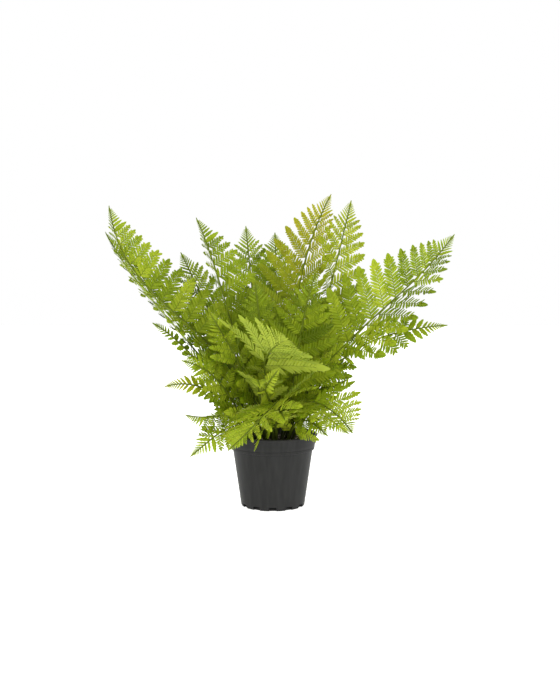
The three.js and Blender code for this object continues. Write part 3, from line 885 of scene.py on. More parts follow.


# The green of each frond is partly painted light: the low fronds in front lie in the shade of those above,
# and were given lighter greens to stand in for light that doesn't reach them.
FRONDS = (
    FrondPlan("frond_left_high", (-13, -3), ((-76, -14, 208), (-160, -24, 288), (-212, -24, 398)),
              260, 56, (0.72, -0.62, 0.3), 40, 0.55, growth=Growth(angle_low=90, angle_tip=62)),
    FrondPlan("frond_left_low", (-14, 4), ((-89, 12, 187), (-166, 18, 278), (-226, 20, 367)),
              225, 60, (0.72, -0.36, 0.6), 30, 0.5, growth=Growth(angle_low=70, angle_tip=48)),
    FrondPlan("frond_left_upright", (-8, -9), ((-38, -18, 182), (-67, -22, 289), (-100, -18, 383)),
              240, 66, (0.66, -0.72, 0.2), 44, 0.45, growth=Growth(angle_low=88, angle_tip=68)),
    FrondPlan("frond_back_upright", (-6, 9), ((-16, 30, 180), (-28, 52, 282), (-38, 62, 378)),
              225, 66, (0, -1, 0.2), 12, 0.5),
    FrondPlan("frond_top", (3, 8), ((22, 20, 203), (40, 26, 312), (79, 25, 418)),
              260, 98, (-0.45, -0.88, 0.1), 26, 0.5, 0.6),
    FrondPlan("frond_right_upright", (8, 0), ((48, -6, 193), (77, -12, 298), (103, -12, 406)),
              250, 57, (0.15, -0.97, 0.1), 14, 0.6, 0.2),
    FrondPlan("frond_right_high", (13, -3), ((75, -16, 193), (157, -26, 275), (236, -26, 361)),
              217, 92, (-0.38, -0.84, 0.38), 33, 0.55, breadth=1.15,
              growth=Growth(angle_low=66, angle_tip=48)),
    FrondPlan("frond_right_low", (16, -8), ((66, -22, 170), (128, -40, 222), (222, -62, 244)),
              95, 40, (0, -0.9, 0.45), 0, 0.5, 0.1, breadth=1.2, growth=Growth(slope=0.42, angle_low=64)),
    FrondPlan("frond_front_left", (-2, -15), ((12, -44, 142), (-4, -98, 140), (-53, -150, 98)),
              140, 90, (-0.43, -0.3, 0.85), 8, 0.8, growth=Growth(slope=0.85)),
    FrondPlan("frond_side_low_left", (-12, -15), ((-42, -44, 122), (-73, -80, 130), (-107, -116, 138)),
              115, 60, (0, -0.5, 0.86), -35, 0.75, breadth=1.35),
    FrondPlan("frond_low_left", (-16, -20), ((-36, -50, 116), (-64, -90, 112), (-99, -128, 88)),
              80, 46, (0.3, -0.6, 0.75), -6, 0.7, breadth=1.35, growth=Growth(slope=0.5)),
    FrondPlan("frond_front_centre", (1, -10), ((-2, -38, 150), (-10, -82, 196), (20, -138, 232)),
              78, 118, (0.4, 0.6, 0.68), 19, 0.95, breadth=1.4,
              growth=Growth(step_share=0.27, step_most=20, slope=1.35, angle_low=76)),
    FrondPlan("frond_side_left", (-18, -8), ((-50, -22, 131), (-92, -44, 163), (-138, -60, 165)),
              96, 17, (0, -0.85, 0.5), 8, 0.55, 0.45, growth=Growth(step_most=9.5)),
    FrondPlan("frond_front_right", (12, -14), ((36, -30, 138), (70, -80, 140), (95, -150, 120)),
              150, 96, (-0.3, -0.2, 0.9), 20, 0.85, breadth=1.2, growth=Growth(angle_low=66)),
    FrondPlan("frond_mid_right", (9, -6), ((28, -22, 175), (40, -46, 252), (56, -66, 312)),
              190, 74, (0, -0.9, 0.4), 14, 0.35),
    FrondPlan("frond_mid_left", (-9, -14), ((-24, -34, 148), (-52, -56, 212), (-80, -74, 262)),
              155, 72, (0.2, -0.85, 0.5), 14, 0.6),
    FrondPlan("frond_shoulder_right", (14, 2), ((48, 4, 165), (88, 2, 228), (126, -8, 282)),
              185, 62, (-0.3, -0.8, 0.5), 12, 0.35),
    FrondPlan("frond_shoulder_left", (-18, 0), ((-46, -16, 146), (-82, -24, 188), (-118, -36, 208)),
              120, 42, (0.2, -0.8, 0.5), 10, 0.6),
    FrondPlan("frond_low_right", (16, -17), ((33, -46, 118), (52, -76, 120), (70, -96, 107)),
              88, 85, (0.1, -0.85, 0.5), 8, 0.9),
    FrondPlan("frond_low_centre", (-5, -20), ((-14, -44, 132), (-18, -84, 172), (-14, -130, 170)),
              110, 62, (0.1, 0.3, 0.9), 18, 0.95),
    FrondPlan("frond_low_shoulder", (19, -3), ((42, -20, 150), (72, -42, 196), (94, -74, 222)),
              130, 46, (-0.2, -0.7, 0.65), 10, 0.7),
    FrondPlan("frond_low_front", (5, -21), ((6, -50, 122), (10, -84, 136), (16, -124, 130)),
              84, 60, (0, -0.6, 0.75), 8, 1.0),
    FrondPlan("frond_spear", (-1, -26), ((-2, -52, 140), (-8, -90, 164), (10, -128, 196)),
              90, 14, (0, -0.9, 0.4), 8, 0.9, growth=Growth(step_most=8)),
    FrondPlan("frond_mid_centre", (-2, 0), ((-6, -14, 160), (-14, -36, 230), (-22, -58, 300)),
              170, 66, (0.1, -0.9, 0.4), 12, 0.3),
    FrondPlan("frond_side_mid_left", (-22, -14), ((-56, -34, 150), (-84, -62, 186), (-114, -84, 201)),
              110, 32, (0.1, -0.9, 0.4), 4, 0.65),
    FrondPlan("frond_left_middle", (-17, 10), ((-48, 22, 174), (-86, 28, 258), (-125, 24, 340)),
              140, 50, (0.3, -0.9, 0.3), 10, 0.45),
    FrondPlan("frond_side_high_left", (-23, -1), ((-68, -4, 150), (-114, -6, 208), (-160, -8, 245)),
              62, 9, (0, -0.9, 0.4), 6, 0.5, growth=Growth(step_most=9.5)),
    FrondPlan("frond_low_side_right", (21, -12), ((42, -30, 122), (63, -50, 128), (97, -76, 107)),
              84, 52, (0.1, -0.8, 0.6), 8, 0.85),
    FrondPlan("frond_back_centre", (3, 14), ((4, 40, 196), (4, 92, 296), (2, 140, 374)),
              215, 72, (0, -0.6, 0.8), 12, 0.5),
    FrondPlan("frond_back_left", (-12, 12), ((-34, 40, 172), (-78, 90, 244), (-126, 148, 280)),
              210, 66, (0.3, -0.3, 0.9), 12, 0.5),
    FrondPlan("frond_back_right", (11, 11), ((34, 40, 176), (76, 94, 250), (120, 152, 292)),
              215, 66, (-0.3, -0.3, 0.9), 12, 0.5),
    FrondPlan("frond_back_low_left", (-16, 17), ((-42, 52, 142), (-80, 108, 184), (-116, 164, 184)),
              140, 60, (0.2, -0.1, 0.97), 10, 0.5),
    FrondPlan("frond_back_low_right", (12, 19), ((32, 58, 142), (58, 116, 184), (84, 180, 186)),
              140, 60, (-0.2, -0.1, 0.97), 10, 0.5),
)


class Rachis:
    """The midrib of a frond: a cubic curve from its root through two points to its tip, in mm."""

    STEPS = 200
    TANGENT_STEP = 1e-4  # of the curve's own parameter

    def __init__(self, plan: FrondPlan, mix: PottingMix) -> None:
        """Lays the curve.

        Args:
            plan: where the frond grows.
            mix: the potting mix that it stands in.
        """
        depth = mix.surface(math.hypot(*plan.root)) - plan.growth.root_depth
        start = np.array([*plan.root, depth], float)
        third, two_thirds, tip = (np.array(point, float) for point in plan.path)
        self.corners = (
            start,
            self.handle(start, third, two_thirds, tip),
            self.handle(tip, two_thirds, third, start),
            tip,
        )
        self.turns = np.linspace(0, 1, self.STEPS + 1)
        steps = np.linalg.norm(np.diff(self.bezier(self.turns), axis=0), axis=1)
        self.reached = np.concatenate([[0.0], np.cumsum(steps)])
        self.length = float(self.reached[-1])
        self.face = np.array(plan.face, float)
        self.growth = plan.growth

    @staticmethod
    def handle(start: np.ndarray, third: np.ndarray, two_thirds: np.ndarray, end: np.ndarray) -> np.ndarray:
        """The first handle of the cubic curve that passes through four points at equal steps."""
        return (-5 * start + 18 * third - 9 * two_thirds + 2 * end) / 6

    def bezier(self, turn: np.ndarray) -> np.ndarray:
        """Points of the curve at its own parameter."""
        t = np.atleast_1d(turn)[:, None]
        a, b, c, d = self.corners
        return (1 - t) ** 3 * a + 3 * (1 - t) ** 2 * t * b + 3 * (1 - t) * t**2 * c + t**3 * d

    def at(self, distance: float) -> tuple[np.ndarray, np.ndarray, np.ndarray, np.ndarray, float, float]:
        """The rachis at a distance from its root.

        Args:
            distance: in mm along the curve; past either end it runs on straight.

        Returns:
            Its place, the ways it runs, faces and spreads to the right, its half-width and its thickness.
        """
        share = min(max(distance / self.length, 0.0), 1.0)
        turn = float(np.interp(share * self.length, self.reached, self.turns))
        ends = np.clip([turn - self.TANGENT_STEP, turn + self.TANGENT_STEP], 0, 1)
        before, after = self.bezier(ends)
        along = unit(after - before)
        place = self.bezier(turn)[0] + along * (distance - share * self.length)
        up = unit(self.face - along * self.face.dot(along))
        half_width = lerp(self.growth.half_width_low, self.growth.half_width_tip, share)
        ridge = lerp(self.growth.ridge_low, self.growth.ridge_tip, share)
        return place, along, up, np.cross(along, up), half_width, ridge


class Pinna:
    """One side leaflet of a frond: where it grows and the ways it points, faces and spreads. In mm."""

    NEAR = 0.05  # a pinna whose tip lies this close to a corner of the solid is the solid's own

    def __init__(self, rachis: Rachis, plan: FrondPlan, from_tip: float, step: float, side: int) -> None:
        """Places the pinna on its rachis.

        Args:
            rachis: the midrib that it grows from.
            plan: the frond's plan.
            from_tip: its distance from the tip.
            step: the distance to the next pair.
            side: -1 on the left, 1 on the right.
        """
        self.growth = plan.growth
        self.share = from_tip / plan.blade
        angle = math.radians(lerp(self.growth.angle_tip, self.growth.angle_low, self.share))
        tilt = math.radians(plan.fold)
        place, along, up, right, half_width, _ = rachis.at(rachis.length - from_tip)
        outward = right * side * math.cos(tilt) + up * math.sin(tilt)
        self.flat_up = up * math.cos(tilt) - right * side * math.sin(tilt)
        self.flat_out = along * math.cos(angle) + outward * math.sin(angle)
        self.base = place + right * side * half_width
        self.full_length = plan.reach * math.tanh(self.growth.slope * from_tip / plan.reach)
        self.full_half_width = self.growth.width_share * step * math.sin(angle)
        self.bend(0, 1)

    def bend(self, lift: float, shortening: float) -> None:
        """Bends the pinna at its foot.

        Args:
            lift: degrees up from where it would lie.
            shortening: how much of its length it grows.
        """
        turn = math.radians(lift)
        self.out = self.flat_out * math.cos(turn) + self.flat_up * math.sin(turn)
        self.up = self.flat_up * math.cos(turn) - self.flat_out * math.sin(turn)
        self.right = np.cross(self.out, self.up)
        self.length = self.full_length * shortening
        self.half_width = self.full_half_width * shortening

    def point(self, share: np.ndarray | float, across: np.ndarray | float, height: float) -> np.ndarray:
        """Places on the pinna.

        Args:
            share: how far along, as a share of its length.
            across: how far to its right.
            height: how far above its arched underside.

        Returns:
            One row for each place.
        """
        share = np.atleast_1d(np.asarray(share, float))[:, None]
        across = np.atleast_1d(np.asarray(across, float))[:, None]
        arch = -self.growth.arch * self.length * share**2
        return self.base + self.out * self.length * share + self.right * across + self.up * (arch + height)

    def roll(self, degrees: float) -> None:
        """Turns the blade about its own rib.

        Args:
            degrees: how far its right side rises.
        """
        turn = math.radians(degrees)
        self.right, self.up = (
            self.right * math.cos(turn) + self.up * math.sin(turn),
            self.up * math.cos(turn) - self.right * math.sin(turn),
        )

    def follow(self, solid: KDTree) -> bool:
        """Bends the pinna as its solid is bent.

        Args:
            solid: the corners of the frond's solid, in metres.

        Returns:
            Whether the solid has this pinna at all.
        """
        nearest = (self.NEAR * MM, 0.0, 1.0)
        found = False
        for shortening in self.growth.shortenings:
            for lift in self.growth.lifts:
                self.bend(lift, shortening)
                _, _, off = solid.find(Vector(self.point(1, 0, 0)[0] * MM))
                if off < nearest[0]:
                    nearest = (off, lift, shortening)
                    found = True
        self.bend(*nearest[1:])
        return found


class Surface(Enum):
    """What a face of a frond is, in the order of the frond's materials."""

    UPPER = 0
    UNDER = 1
    STEM = 2


class FrondMesh:
    """Collects the faces of one frond, with what its materials read at each point."""

    FIELDS = ("tone", "yellowing", "across_mm", "along_mm")
    SHARP_FROM = 55  # degrees

    def __init__(self) -> None:
        """Starts with nothing."""
        self.points: list[np.ndarray] = []
        self.faces: list[tuple[int, ...]] = []
        self.kinds: list[int] = []
        self.fields: dict[str, list[np.ndarray]] = {name: [] for name in self.FIELDS}
        self.count = 0

    def add(
        self,
        points: np.ndarray,
        faces: list[tuple[int, ...]],
        kinds: list[Surface],
        **fields: np.ndarray | float,
    ) -> None:
        """Adds one or more like bodies.

        Args:
            points: an array of bodies, points and coordinates, in mm.
            faces: the faces of one body.
            kinds: what each face is.
            fields: a value, or an array of bodies and points, for each of FIELDS.
        """
        bodies, size, _ = points.shape
        for body in range(bodies):
            start = self.count + body * size
            self.faces.extend(tuple(start + i for i in face) for face in faces)
            self.kinds.extend(kind.value for kind in kinds)
        self.points.append(points.reshape(-1, 3))
        for name in self.FIELDS:
            value = np.broadcast_to(np.asarray(fields.get(name, 0.0), float), (bodies, size))
            self.fields[name].append(value.ravel())
        self.count += bodies * size

    def finish(self, name: str, materials: list[bpy.types.Material]) -> bpy.types.Object:
        """Makes the object.

        Args:
            name: its name.
            materials: one for each kind of face.

        Returns:
            The frond.
        """
        mesh = bpy.data.meshes.new(name)
        mesh.from_pydata((np.concatenate(self.points) * MM).tolist(), [], self.faces)
        for material in materials:
            mesh.materials.append(material)
        mesh.polygons.foreach_set("material_index", self.kinds)
        for field_name, values in self.fields.items():
            layer = mesh.attributes.new(field_name, "FLOAT", "POINT")
            layer.data.foreach_set("value", np.concatenate(values).astype(np.float32))
        smooth(mesh, self.SHARP_FROM)
        return object_from(name, mesh)


@dataclass(frozen=True)
class Outline:
    """The outline of a blade: shares of its length, and the half-width at each as a share of the greatest."""

    shares: tuple[float, ...]
    widths: tuple[float, ...]


PINNULE = Outline((0.0, 0.5, 0.86), (0.8, 1.0, 0.68))  # blunt
TERMINAL = Outline(  # pointed, with three small lobes on each side
    (0.0, 0.12, 0.2, 0.34, 0.42, 0.56, 0.64, 0.78, 0.92),
    (0.62, 1.0, 0.86, 1.0, 0.84, 0.86, 0.68, 0.6, 0.3),
)
FOOT = 0.05  # share of its length over which a leaflet's foot keeps one width
WIDEST_LOW = 0.72  # below 1, it is widest nearer its foot
BLUNTNESS = 0.62  # below 1, it is blunter than a lens
NOTCH, TOOTH = 0.84, 1.04  # width between two teeth and at a tooth, as a share of the outline's


def toothed(teeth: int) -> Outline:
    """The outline of an undivided leaflet.

    Args:
        teeth: how many rounded teeth each edge has.

    Returns:
        A lance-shaped outline, notched between its teeth.
    """
    shares = np.linspace(0, 1, 2 * teeth + 1)[:-1]
    lance = np.sin(math.pi * np.clip(shares, FOOT, 1) ** WIDEST_LOW) ** BLUNTNESS
    notched = np.where(np.arange(len(shares)) % 2 == 0, NOTCH, TOOTH)
    return Outline(tuple(shares), tuple(lance * notched))


@dataclass(frozen=True)
class PinnuleSizes:
    """How the pinnules of a cut pinna stand on its rib. Sizes in mm, angles in degrees."""

    step: tuple[float, float] = (3.3, 4.5)  # least and most
    step_share: float = 0.46  # per millimetre of the pinna's half-width
    half_width: float = 0.43  # per step
    foot: float = 0.42  # half-width where it grows from the rib, per step
    angles: tuple[float, float] = (62, 48)  # from the rib, at the pinna's foot and at its tip
    angle_spread: float = 2.2
    lift: float = 8
    lift_spread: float = 5
    length_spread: float = 0.05
    tone_spread: float = 0.1
    stagger: float = 0.25  # of a step, that those on the right stand further out and those on the left less
    root_height: float = 0.1  # above the underside of the pinna


@dataclass(frozen=True)
class StalkPinnae:
    """The small pinnae that go on down the stalk below the blade. Sizes in mm."""

    reach: float = 0.5  # share of the blade's length over which they stand
    step: float = 15
    lengths: tuple[float, float] = (14, 34)  # of the lowest and the highest
    longest: float = 0.6  # per millimetre of the longest pinna in the blade
    half_width: float = 0.2  # per millimetre of length
    clear_of_mix: float = 20  # height above the mix at which they end


@dataclass
class Frond:
    """One frond: stalk, rachis, pinnae cut into pinnules, and the small undivided leaflets towards its tip.

    Sizes in mm. The pinnules stand out of both sides of each rib, a little raised, so the pinna is a shallow
    trough, and no two lie quite alike.
    """

    plan: FrondPlan
    mix: PottingMix
    pinnules: PinnuleSizes = PinnuleSizes()
    low: StalkPinnae = StalkPinnae()
    fullness: float = 1.4  # half-width of a cut pinna, per millimetre in the solid
    foot_fullness: float = 0.88  # and at its foot, as a share of that
    belly_at: float = 0.6  # share of its length over which it swells and falls back
    taper: float = 0.58  # how much narrower a pinna is at its tip
    cut_length: float = 21  # shorter pinnae stay undivided
    cut_to: float = 0.83  # share of a pinna's length at which its last pinnule stands
    end_overlap: float = 0.05  # share of its length by which the undivided end reaches back over them
    end_fullness: float = 0.86
    end_widest: float = 0.34  # most half-width of the undivided end, per millimetre of its length
    leaflet_fullness: float = 0.98  # half-width of an undivided leaflet, per millimetre in the solid
    tooth: float = 4  # length of a tooth of an undivided leaflet
    droop: float = 0.1  # fall of a pinnule's tip, per millimetre
    roll: float = 7  # spread in degrees of the pinnae about their ribs
    tone_spread: float = 0.16
    yellow_from: float = 0.25  # share of the blade's length at which the yellow begins
    yellow_over: float = 0.5
    thickness: float = 0.5
    thinning: float = 0.6  # how much thinner a blade is at its tip
    rib_half_width: float = 0.5
    rib_ends: tuple[float, float] = (1.05, 0.3)  # its foot and its tip, as shares of that
    rib_stout: float = 40  # ribs of much shorter pinnae are slimmer, by their length over this
    rib_least: float = 0.3
    rib_height: float = 0.25
    rib_reach: tuple[float, float] = (-0.02, 0.97)  # shares of the pinna's length from and to which it runs
    rib_stations: int = 8
    rib_sides: int = 5
    rib_tone: float = 0.85
    rachis_fullness: tuple[float, float] = (1.25, 0.47)  # half-width and half-height, per mm in the solid
    rachis_tones: tuple[float, float, float] = (0.1, 1.1, 0.72)  # at the root, its rise, and the most
    rachis_sides: int = 8
    rachis_stations: int = 44
    rachis_point: tuple[float, float] = (0.5, 0.15)  # how slim its last two stations are
    rachis_short: float = 0.5  # it ends this far short of the tip
    tip_step_share: float = 0.18  # between the leaflets past the solid's last pair
    tip_shortening: float = 0.86
    tip_half_width: float = 1.5
    tip_length: float = 1.6  # of the last blade, per millimetre of last_leaflet
    last_leaflet: float = 6  # the smallest leaflets are this far from the tip
    crowded_lift: float = 30  # most that a pinna bends that the solid doesn't have
    crowded_shortening: float = 0.75
    mesh: FrondMesh = field(default_factory=FrondMesh)

    def __post_init__(self) -> None:
        """Lays the rachis and starts the random draws of this frond."""
        self.rachis = Rachis(self.plan, self.mix)
        self.draw = np.random.default_rng(sum(map(ord, self.plan.name)))

    def pinnae(self) -> list[Pinna]:
        """The pinnae, bent as the solid bends them, and the leaflets beyond them.

        Returns:
            The pinnae, from the foot of the blade to the tip.
        """
        solid_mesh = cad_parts[self.plan.name].data
        solid = KDTree(len(solid_mesh.vertices))
        for vertex in solid_mesh.vertices:
            solid.insert(vertex.co, vertex.index)
        solid.balance()
        growth = self.plan.growth
        grown = []
        from_tip = self.plan.blade
        while from_tip >= self.last_leaflet:
            in_solid = from_tip >= growth.smallest
            step = min((growth.step_share if in_solid else self.tip_step_share) * from_tip, growth.step_most)
            for side, distance in zip(SIDES, (from_tip, from_tip - step / 2)):
                pinna = Pinna(self.rachis, self.plan, distance, step, side)
                if not in_solid:
                    pinna.bend(0, self.tip_shortening)
                elif not pinna.follow(solid):
                    self.squeeze(pinna, self.crowded_shortening)
                grown.append(pinna)
            from_tip -= step
        return self.stalk_pinnae() + grown

    def squeeze(self, pinna: Pinna, shortening: float) -> None:
        """Bends a crowded pinna up or down by chance, and shortens it."""
        pinna.bend(self.draw.uniform(-self.crowded_lift, self.crowded_lift), shortening)

    def stalk_pinnae(self) -> list[Pinna]:
        """The small pinnae below the blade, which grow shorter down the stalk.

        Returns:
            The pinnae, from the lowest up.
        """
        grown = []
        lowest, highest = self.low.lengths
        count = 2 * int(self.low.reach * self.plan.blade / self.low.step)
        for place in range(count, 0, -1):
            from_tip = self.plan.blade + place * self.low.step / 2
            pinna = Pinna(self.rachis, self.plan, from_tip, self.low.step, SIDES[1 - place % 2])
            if pinna.base[2] < self.mix.level + self.low.clear_of_mix:
                continue
            length = lerp(min(highest, self.low.longest * self.plan.reach), lowest, place / count)
            self.squeeze(pinna, length / pinna.full_length)
            pinna.half_width = self.low.half_width * length
            grown.append(pinna)
        return grown

    def tube(
        self,
        places: np.ndarray,
        rights: np.ndarray,
        ups: np.ndarray,
        widths: np.ndarray,
        heights: np.ndarray,
        sides: int,
        tone: np.ndarray | float,
    ) -> None:
        """Adds a tapered round stem.

        Args:
            places: its middle line.
            rights: the way to its right at each place.
            ups: the way up at each place.
            widths: its half-width at each place.
            heights: its half-height at each place.
            sides: corners of its section.
            tone: 0 where it is brown, 1 where it is green.
        """
        turns = math.tau * np.arange(sides) / sides
        ring = (
            places[:, None]
            + rights[:, None] * (widths[:, None] * np.cos(turns))[..., None]
            + ups[:, None] * (heights[:, None] * np.sin(turns))[..., None]
        )
        count = len(places)
        ends = [tuple(range(sides)), tuple(reversed(range((count - 1) * sides, count * sides)))]
        faces = ends + band(count, sides)
        tones = np.repeat(np.broadcast_to(tone, count), sides)[None]
        self.mesh.add(ring.reshape(1, -1, 3), faces, [Surface.STEM] * len(faces), tone=tones)

    def blades(
        self,
        roots: np.ndarray,
        ways: np.ndarray,
        ups: np.ndarray,
        lengths: np.ndarray | float,
        half_widths: np.ndarray | float,
        outline: Outline,
        tone: np.ndarray | float,
        yellowing: float,
        droop: float = 0.0,
        feet: np.ndarray | None = None,
    ) -> None:
        """Adds thin closed blades, each ridged along its midrib above and flat below.

        Args:
            roots: where each grows. One place, and one of each value below, makes one blade.
            ways: the way that each points.
            ups: the way that the upper face of each looks.
            lengths: of each.
            half_widths: of each.
            outline: the outline that they share.
            tone: of each.
            yellowing: how far they have turned yellow.
            droop: fall of the tip per millimetre.
            feet: half of the foot of each, from its middle to its right-hand corner; None for a plain foot.
        """
        roots, ways, ups = map(np.atleast_2d, (roots, ways, ups))
        lengths, half_widths, tone = map(np.atleast_1d, (lengths, half_widths, tone))
        rights = unit(np.cross(ways, ups))
        ups = unit(np.cross(rights, ways))
        rows, edges, marks = [], [], []
        for share, width in zip(outline.shares, outline.widths):
            middle = roots + ways * (lengths * share)[:, None] - ups * (droop * lengths * share**2)[:, None]
            spread = rights * (half_widths * width)[:, None]
            if feet is not None and share == 0:
                spread = feet
            crest = middle + ups * (self.thickness * (1 - self.thinning * share))
            rows += [middle - spread, crest, middle + spread]
            reach = half_widths * width
            edges += [-reach, 0 * reach, reach]
            marks += [lengths * share] * 3
        rows.append(roots + ways * lengths[:, None] - ups * (droop * lengths)[:, None])
        edges.append(0 * lengths)
        marks.append(lengths)
        last = 3 * (len(outline.shares) - 1)
        tip = last + 3
        faces, kinds = [(0, 1, 2)], [Surface.UNDER]
        for k in range(0, last, 3):
            faces += [(k, k + 1, k + 4, k + 3), (k + 1, k + 2, k + 5, k + 4), (k + 2, k, k + 3, k + 5)]
            kinds += [Surface.UPPER, Surface.UPPER, Surface.UNDER]
        faces += [(last, last + 1, tip), (last + 1, last + 2, tip), (last + 2, last, tip)]
        kinds += [Surface.UPPER, Surface.UPPER, Surface.UNDER]
        self.mesh.add(
            np.stack(rows, axis=1),
            faces,
            kinds,
            tone=tone[:, None],
            yellowing=yellowing,
            across_mm=np.stack(edges, axis=1),
            along_mm=np.stack(marks, axis=1),
        )

    def rib(self, pinna: Pinna) -> None:
        """Adds the rib of a pinna.

        Args:
            pinna: the pinna that it runs along.
        """
        shares = np.linspace(*self.rib_reach, self.rib_stations)
        tapered = self.rib_half_width * lerp(*self.rib_ends, np.clip(shares, 0, 1))
        widths = tapered * min(1, pinna.length / self.rib_stout + self.rib_least)
        rights, ups = (np.tile(way, (len(shares), 1)) for way in (pinna.right, pinna.up))
        places = pinna.point(shares, 0, self.rib_height)
        self.tube(places, rights, ups, widths, widths, self.rib_sides, self.rib_tone)

    def leaflet(self, pinna: Pinna, tone: float, yellowing: float) -> None:
        """Adds an undivided pinna, which starts a millimetre inside the rachis.

        Args:
            pinna: where it grows and the ways it points.
            tone: of its green.
            yellowing: how far it has turned yellow.
        """
        root, length = pinna.base - pinna.out, pinna.length + 1
        outline = toothed(max(3, round(pinna.length / self.tooth)))
        width, droop = pinna.half_width * self.leaflet_fullness, pinna.growth.arch
        self.blades(root, pinna.out, pinna.up, length, width, outline, tone, yellowing, droop)

    def envelope(self, pinna: Pinna, shares: np.ndarray | float) -> np.ndarray | float:
        """Half-width of a cut pinna at shares of its length."""
        swell = np.sin(math.pi * np.minimum(shares / self.belly_at, 1))
        full = pinna.half_width * self.fullness * self.plan.breadth
        return full * lerp(self.foot_fullness, 1, swell) * (1 - self.taper * shares)

    def divided(self, pinna: Pinna, tone: float, yellowing: float) -> None:
        """Adds a pinna that is cut into pinnules, with its rib and its undivided end.

        Args:
            pinna: where it grows and the ways it points.
            tone: of its green.
            yellowing: how far it has turned yellow.
        """
        self.rib(pinna)
        pinna.roll(self.draw.normal(0, self.roll))
        cut = self.pinnules
        step = float(np.clip(cut.step_share * pinna.half_width, *cut.step))
        count = max(3, round(pinna.length * self.cut_to / step))
        step = pinna.length * self.cut_to / count
        for side in SIDES:
            shares = (np.arange(count) + 0.5 + cut.stagger * side) * step / pinna.length
            angles = np.radians(lerp(*cut.angles, shares) + self.draw.normal(0, cut.angle_spread, count))
            lifts = np.radians(cut.lift + self.draw.normal(0, cut.lift_spread, count))
            flat = pinna.out * np.cos(angles)[:, None] + side * pinna.right * np.sin(angles)[:, None]
            ways = flat * np.cos(lifts)[:, None] + pinna.up * np.sin(lifts)[:, None]
            ups = pinna.up * np.cos(lifts)[:, None] - flat * np.sin(lifts)[:, None]
            uneven = self.draw.uniform(1 - cut.length_spread, 1 + cut.length_spread, count)
            lengths = self.envelope(pinna, shares) / np.sin(angles) * uneven
            feet = np.tile(-side * pinna.out * step * cut.foot, (count, 1))
            tones = tone + self.draw.normal(0, cut.tone_spread, count)
            half_widths = np.full(count, step * cut.half_width)
            roots = pinna.point(shares, 0, cut.root_height)
            self.blades(roots, ways, ups, lengths, half_widths, PINNULE, tones, yellowing, self.droop, feet)
        root = pinna.point(self.cut_to - self.end_overlap, 0, cut.root_height)
        way = pinna.point(1, 0, 0) - root
        length = np.linalg.norm(way, axis=1)
        spread = np.minimum(self.envelope(pinna, self.cut_to) * self.end_fullness, self.end_widest * length)
        self.blades(root, unit(way), pinna.up, length, spread, TERMINAL, tone, yellowing)

    def stalk(self) -> None:
        """Adds the stalk and rachis, from the root to the tip, brown below and green above."""
        end = self.rachis.length
        below_tip = np.linspace(0, end - self.last_leaflet, self.rachis_stations)
        distances = np.append(below_tip, end - self.rachis_short)
        stations = zip(*map(self.rachis.at, distances))
        places, _, ups, rights, half_widths, ridges = map(np.array, stations)
        wide, high = self.rachis_fullness
        slim = np.append(np.ones(len(distances) - len(self.rachis_point)), self.rachis_point)
        brown, greening, greenest = self.rachis_tones
        tones = np.clip(brown + greening * (distances / end), 0, greenest)
        places += ups * (ridges / 2)[:, None]
        widths, heights = half_widths * wide * slim, ridges * high * slim
        self.tube(places, rights, ups, widths, heights, self.rachis_sides, tones)

    def tip(self, tone: float) -> None:
        """Adds the last small blade at the end of the rachis.

        Args:
            tone: of its green.
        """
        length = self.last_leaflet * self.tip_length
        place, along, up, _, _, _ = self.rachis.at(self.rachis.length - length)
        self.blades(place, along, up, length, self.tip_half_width, TERMINAL, tone, self.plan.yellowing)

    def build(self, materials: list[bpy.types.Material]) -> bpy.types.Object:
        """Builds the frond.

        Args:
            materials: upper face, underside and stem.

        Returns:
            The finished frond.
        """
        self.stalk()
        for pinna in self.pinnae():
            # The frond's green carries painted light: low fronds are lighter than their shade would leave
            # them.
            tone = self.plan.green_and_painted_light + self.draw.normal(0, self.tone_spread)
            past = (1 - pinna.share - self.yellow_from) / self.yellow_over
            yellowing = self.plan.yellowing * min(max(past, 0), 1)
            if pinna.length < self.cut_length:
                self.leaflet(pinna, tone, yellowing)
            else:
                self.divided(pinna, tone, yellowing)
        self.tip(self.plan.green_and_painted_light)
        frond = self.mesh.finish(f"{self.plan.name}_blades", materials)
        return stand_for(frond, self.plan.name)


# ---- studio ----


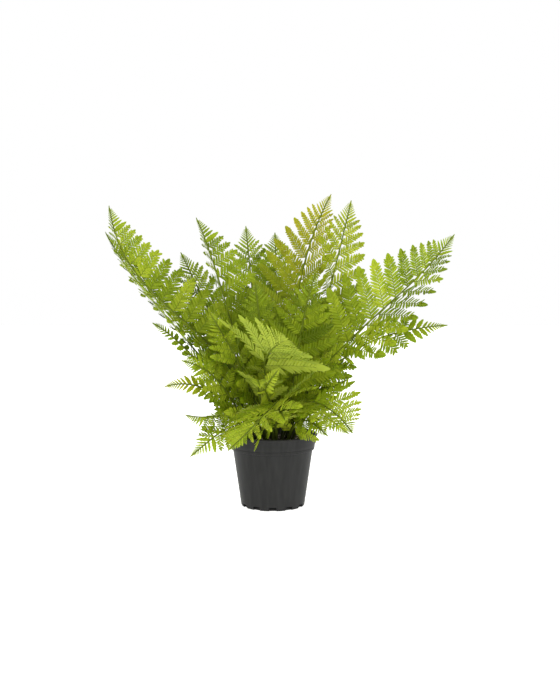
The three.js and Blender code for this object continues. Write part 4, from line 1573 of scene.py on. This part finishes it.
@dataclass
class Studio:
    """A light table, soft light from all round with two soft boxes, and the camera. Places in metres."""

    camera_place: tuple[float, float, float] = (0.0096, -1.2, 0.288)
    camera_pitch: float = 3.79  # degrees below the horizon
    focal_length: float = 46.29  # mm
    key_place: tuple[float, float, float] = (-0.8, -1.3, 1.5)
    fill_place: tuple[float, float, float] = (0.8, -1.3, 0.25)
    key_power: float = 16.2
    fill_power: float = 10.2
    around: float = 1.0
    ahead: float = 0.08  # the studio is dark where the camera stands
    dark_edge: tuple[float, float] = (-0.97, -0.75)  # Y of the directions between which the dark fades out
    lamp_sizes: tuple[float, float] = (1.2, 1.0)  # key and fill
    lamp_aim: tuple[float, float, float] = (0, 0, 0.2)
    film: float = 36  # mm, the long side of its picture
    floor_size: float = 12
    floor_cells: int = 8

    def camera(self) -> None:
        """Places the camera at the photograph's viewing angle and makes it the scene's."""
        data = bpy.data.cameras.new("view")
        data.lens = self.focal_length
        data.sensor_width = self.film
        camera = object_from("view", data)
        camera.location = self.camera_place
        camera.rotation_euler = (math.radians(90 - self.camera_pitch), 0, 0)
        bpy.context.scene.camera = camera

    def lamp(self, name: str, place: tuple[float, float, float], power: float, size: float) -> None:
        """Hangs a square soft box that faces the plant.

        Args:
            name: its name.
            place: where it hangs.
            power: in watts.
            size: of its side.
        """
        data = bpy.data.lights.new(name, "AREA")
        data.energy = power
        data.size = size
        lamp = object_from(name, data)
        lamp.location = place
        aim = Vector(self.lamp_aim) - Vector(place)
        lamp.rotation_euler = aim.to_track_quat("-Z", "Y").to_euler()

    def surroundings(self) -> None:
        """Lights the plant evenly from the sides, the back and above, and less from the front."""
        world = bpy.data.worlds.new("studio")
        bpy.context.scene.world = world
        world.use_nodes = True
        tree = world.node_tree
        direction = add_node(tree, "TexCoord", output="Generated")
        y = add_node(tree, "SeparateXYZ", {0: direction}, "Y")
        dark, light = self.dark_edge
        shade = add_node(
            tree,
            "MapRange",
            {"Value": y, "From Min": dark, "From Max": light, "To Min": self.ahead, "To Max": self.around},
            interpolation_type="SMOOTHSTEP",
        )
        feed(tree.nodes["Background"], {"Strength": shade, "Color": (1, 1, 1, 1)})

    def floor(self, acrylic: bpy.types.Material) -> None:
        """Lays the light table's top.

        Args:
            acrylic: its material.
        """
        sheet = bmesh.new()
        cells = self.floor_cells
        bmesh.ops.create_grid(sheet, x_segments=cells, y_segments=cells, size=self.floor_size / 2)
        mesh = bpy.data.meshes.new("floor")
        sheet.to_mesh(mesh)
        sheet.free()
        mesh.materials.append(acrylic)
        object_from("floor", mesh)

    def build(self, acrylic: bpy.types.Material) -> None:
        """Sets up the whole studio.

        Args:
            acrylic: material of the light table's top.
        """
        self.camera()
        self.surroundings()
        key_size, fill_size = self.lamp_sizes
        self.lamp("key", self.key_place, self.key_power, key_size)
        self.lamp("fill", self.fill_place, self.fill_power, fill_size)
        self.floor(acrylic)
        bpy.context.scene.view_settings.view_transform = "Standard"


def report(piece: bpy.types.Object) -> None:
    """Logs the name of a piece and how many faces it has."""
    log.info("%s: %d faces", piece.name, len(piece.data.polygons))


def main() -> None:
    """Builds the studio and every piece of the plant, and writes how large it came out."""
    logging.basicConfig(level=logging.INFO, format="%(name)s %(message)s")
    Studio().build(OpalAcrylic().make())
    pot = NurseryPot()
    report(pot.build(MouldedPolypropylene().make()))
    mix = PottingMix(pot)
    report(mix.build(MoistPeat().make(), Perlite().make()))
    underside = FernBlade("fern_blade_under", LeafFace.UNDER, roughness=0.62)
    finishes = [finish.make() for finish in (FernBlade(), underside, FernStem())]
    for plan in FRONDS:
        report(Frond(plan, mix).build(finishes))


if __name__ == "__main__":
    main()
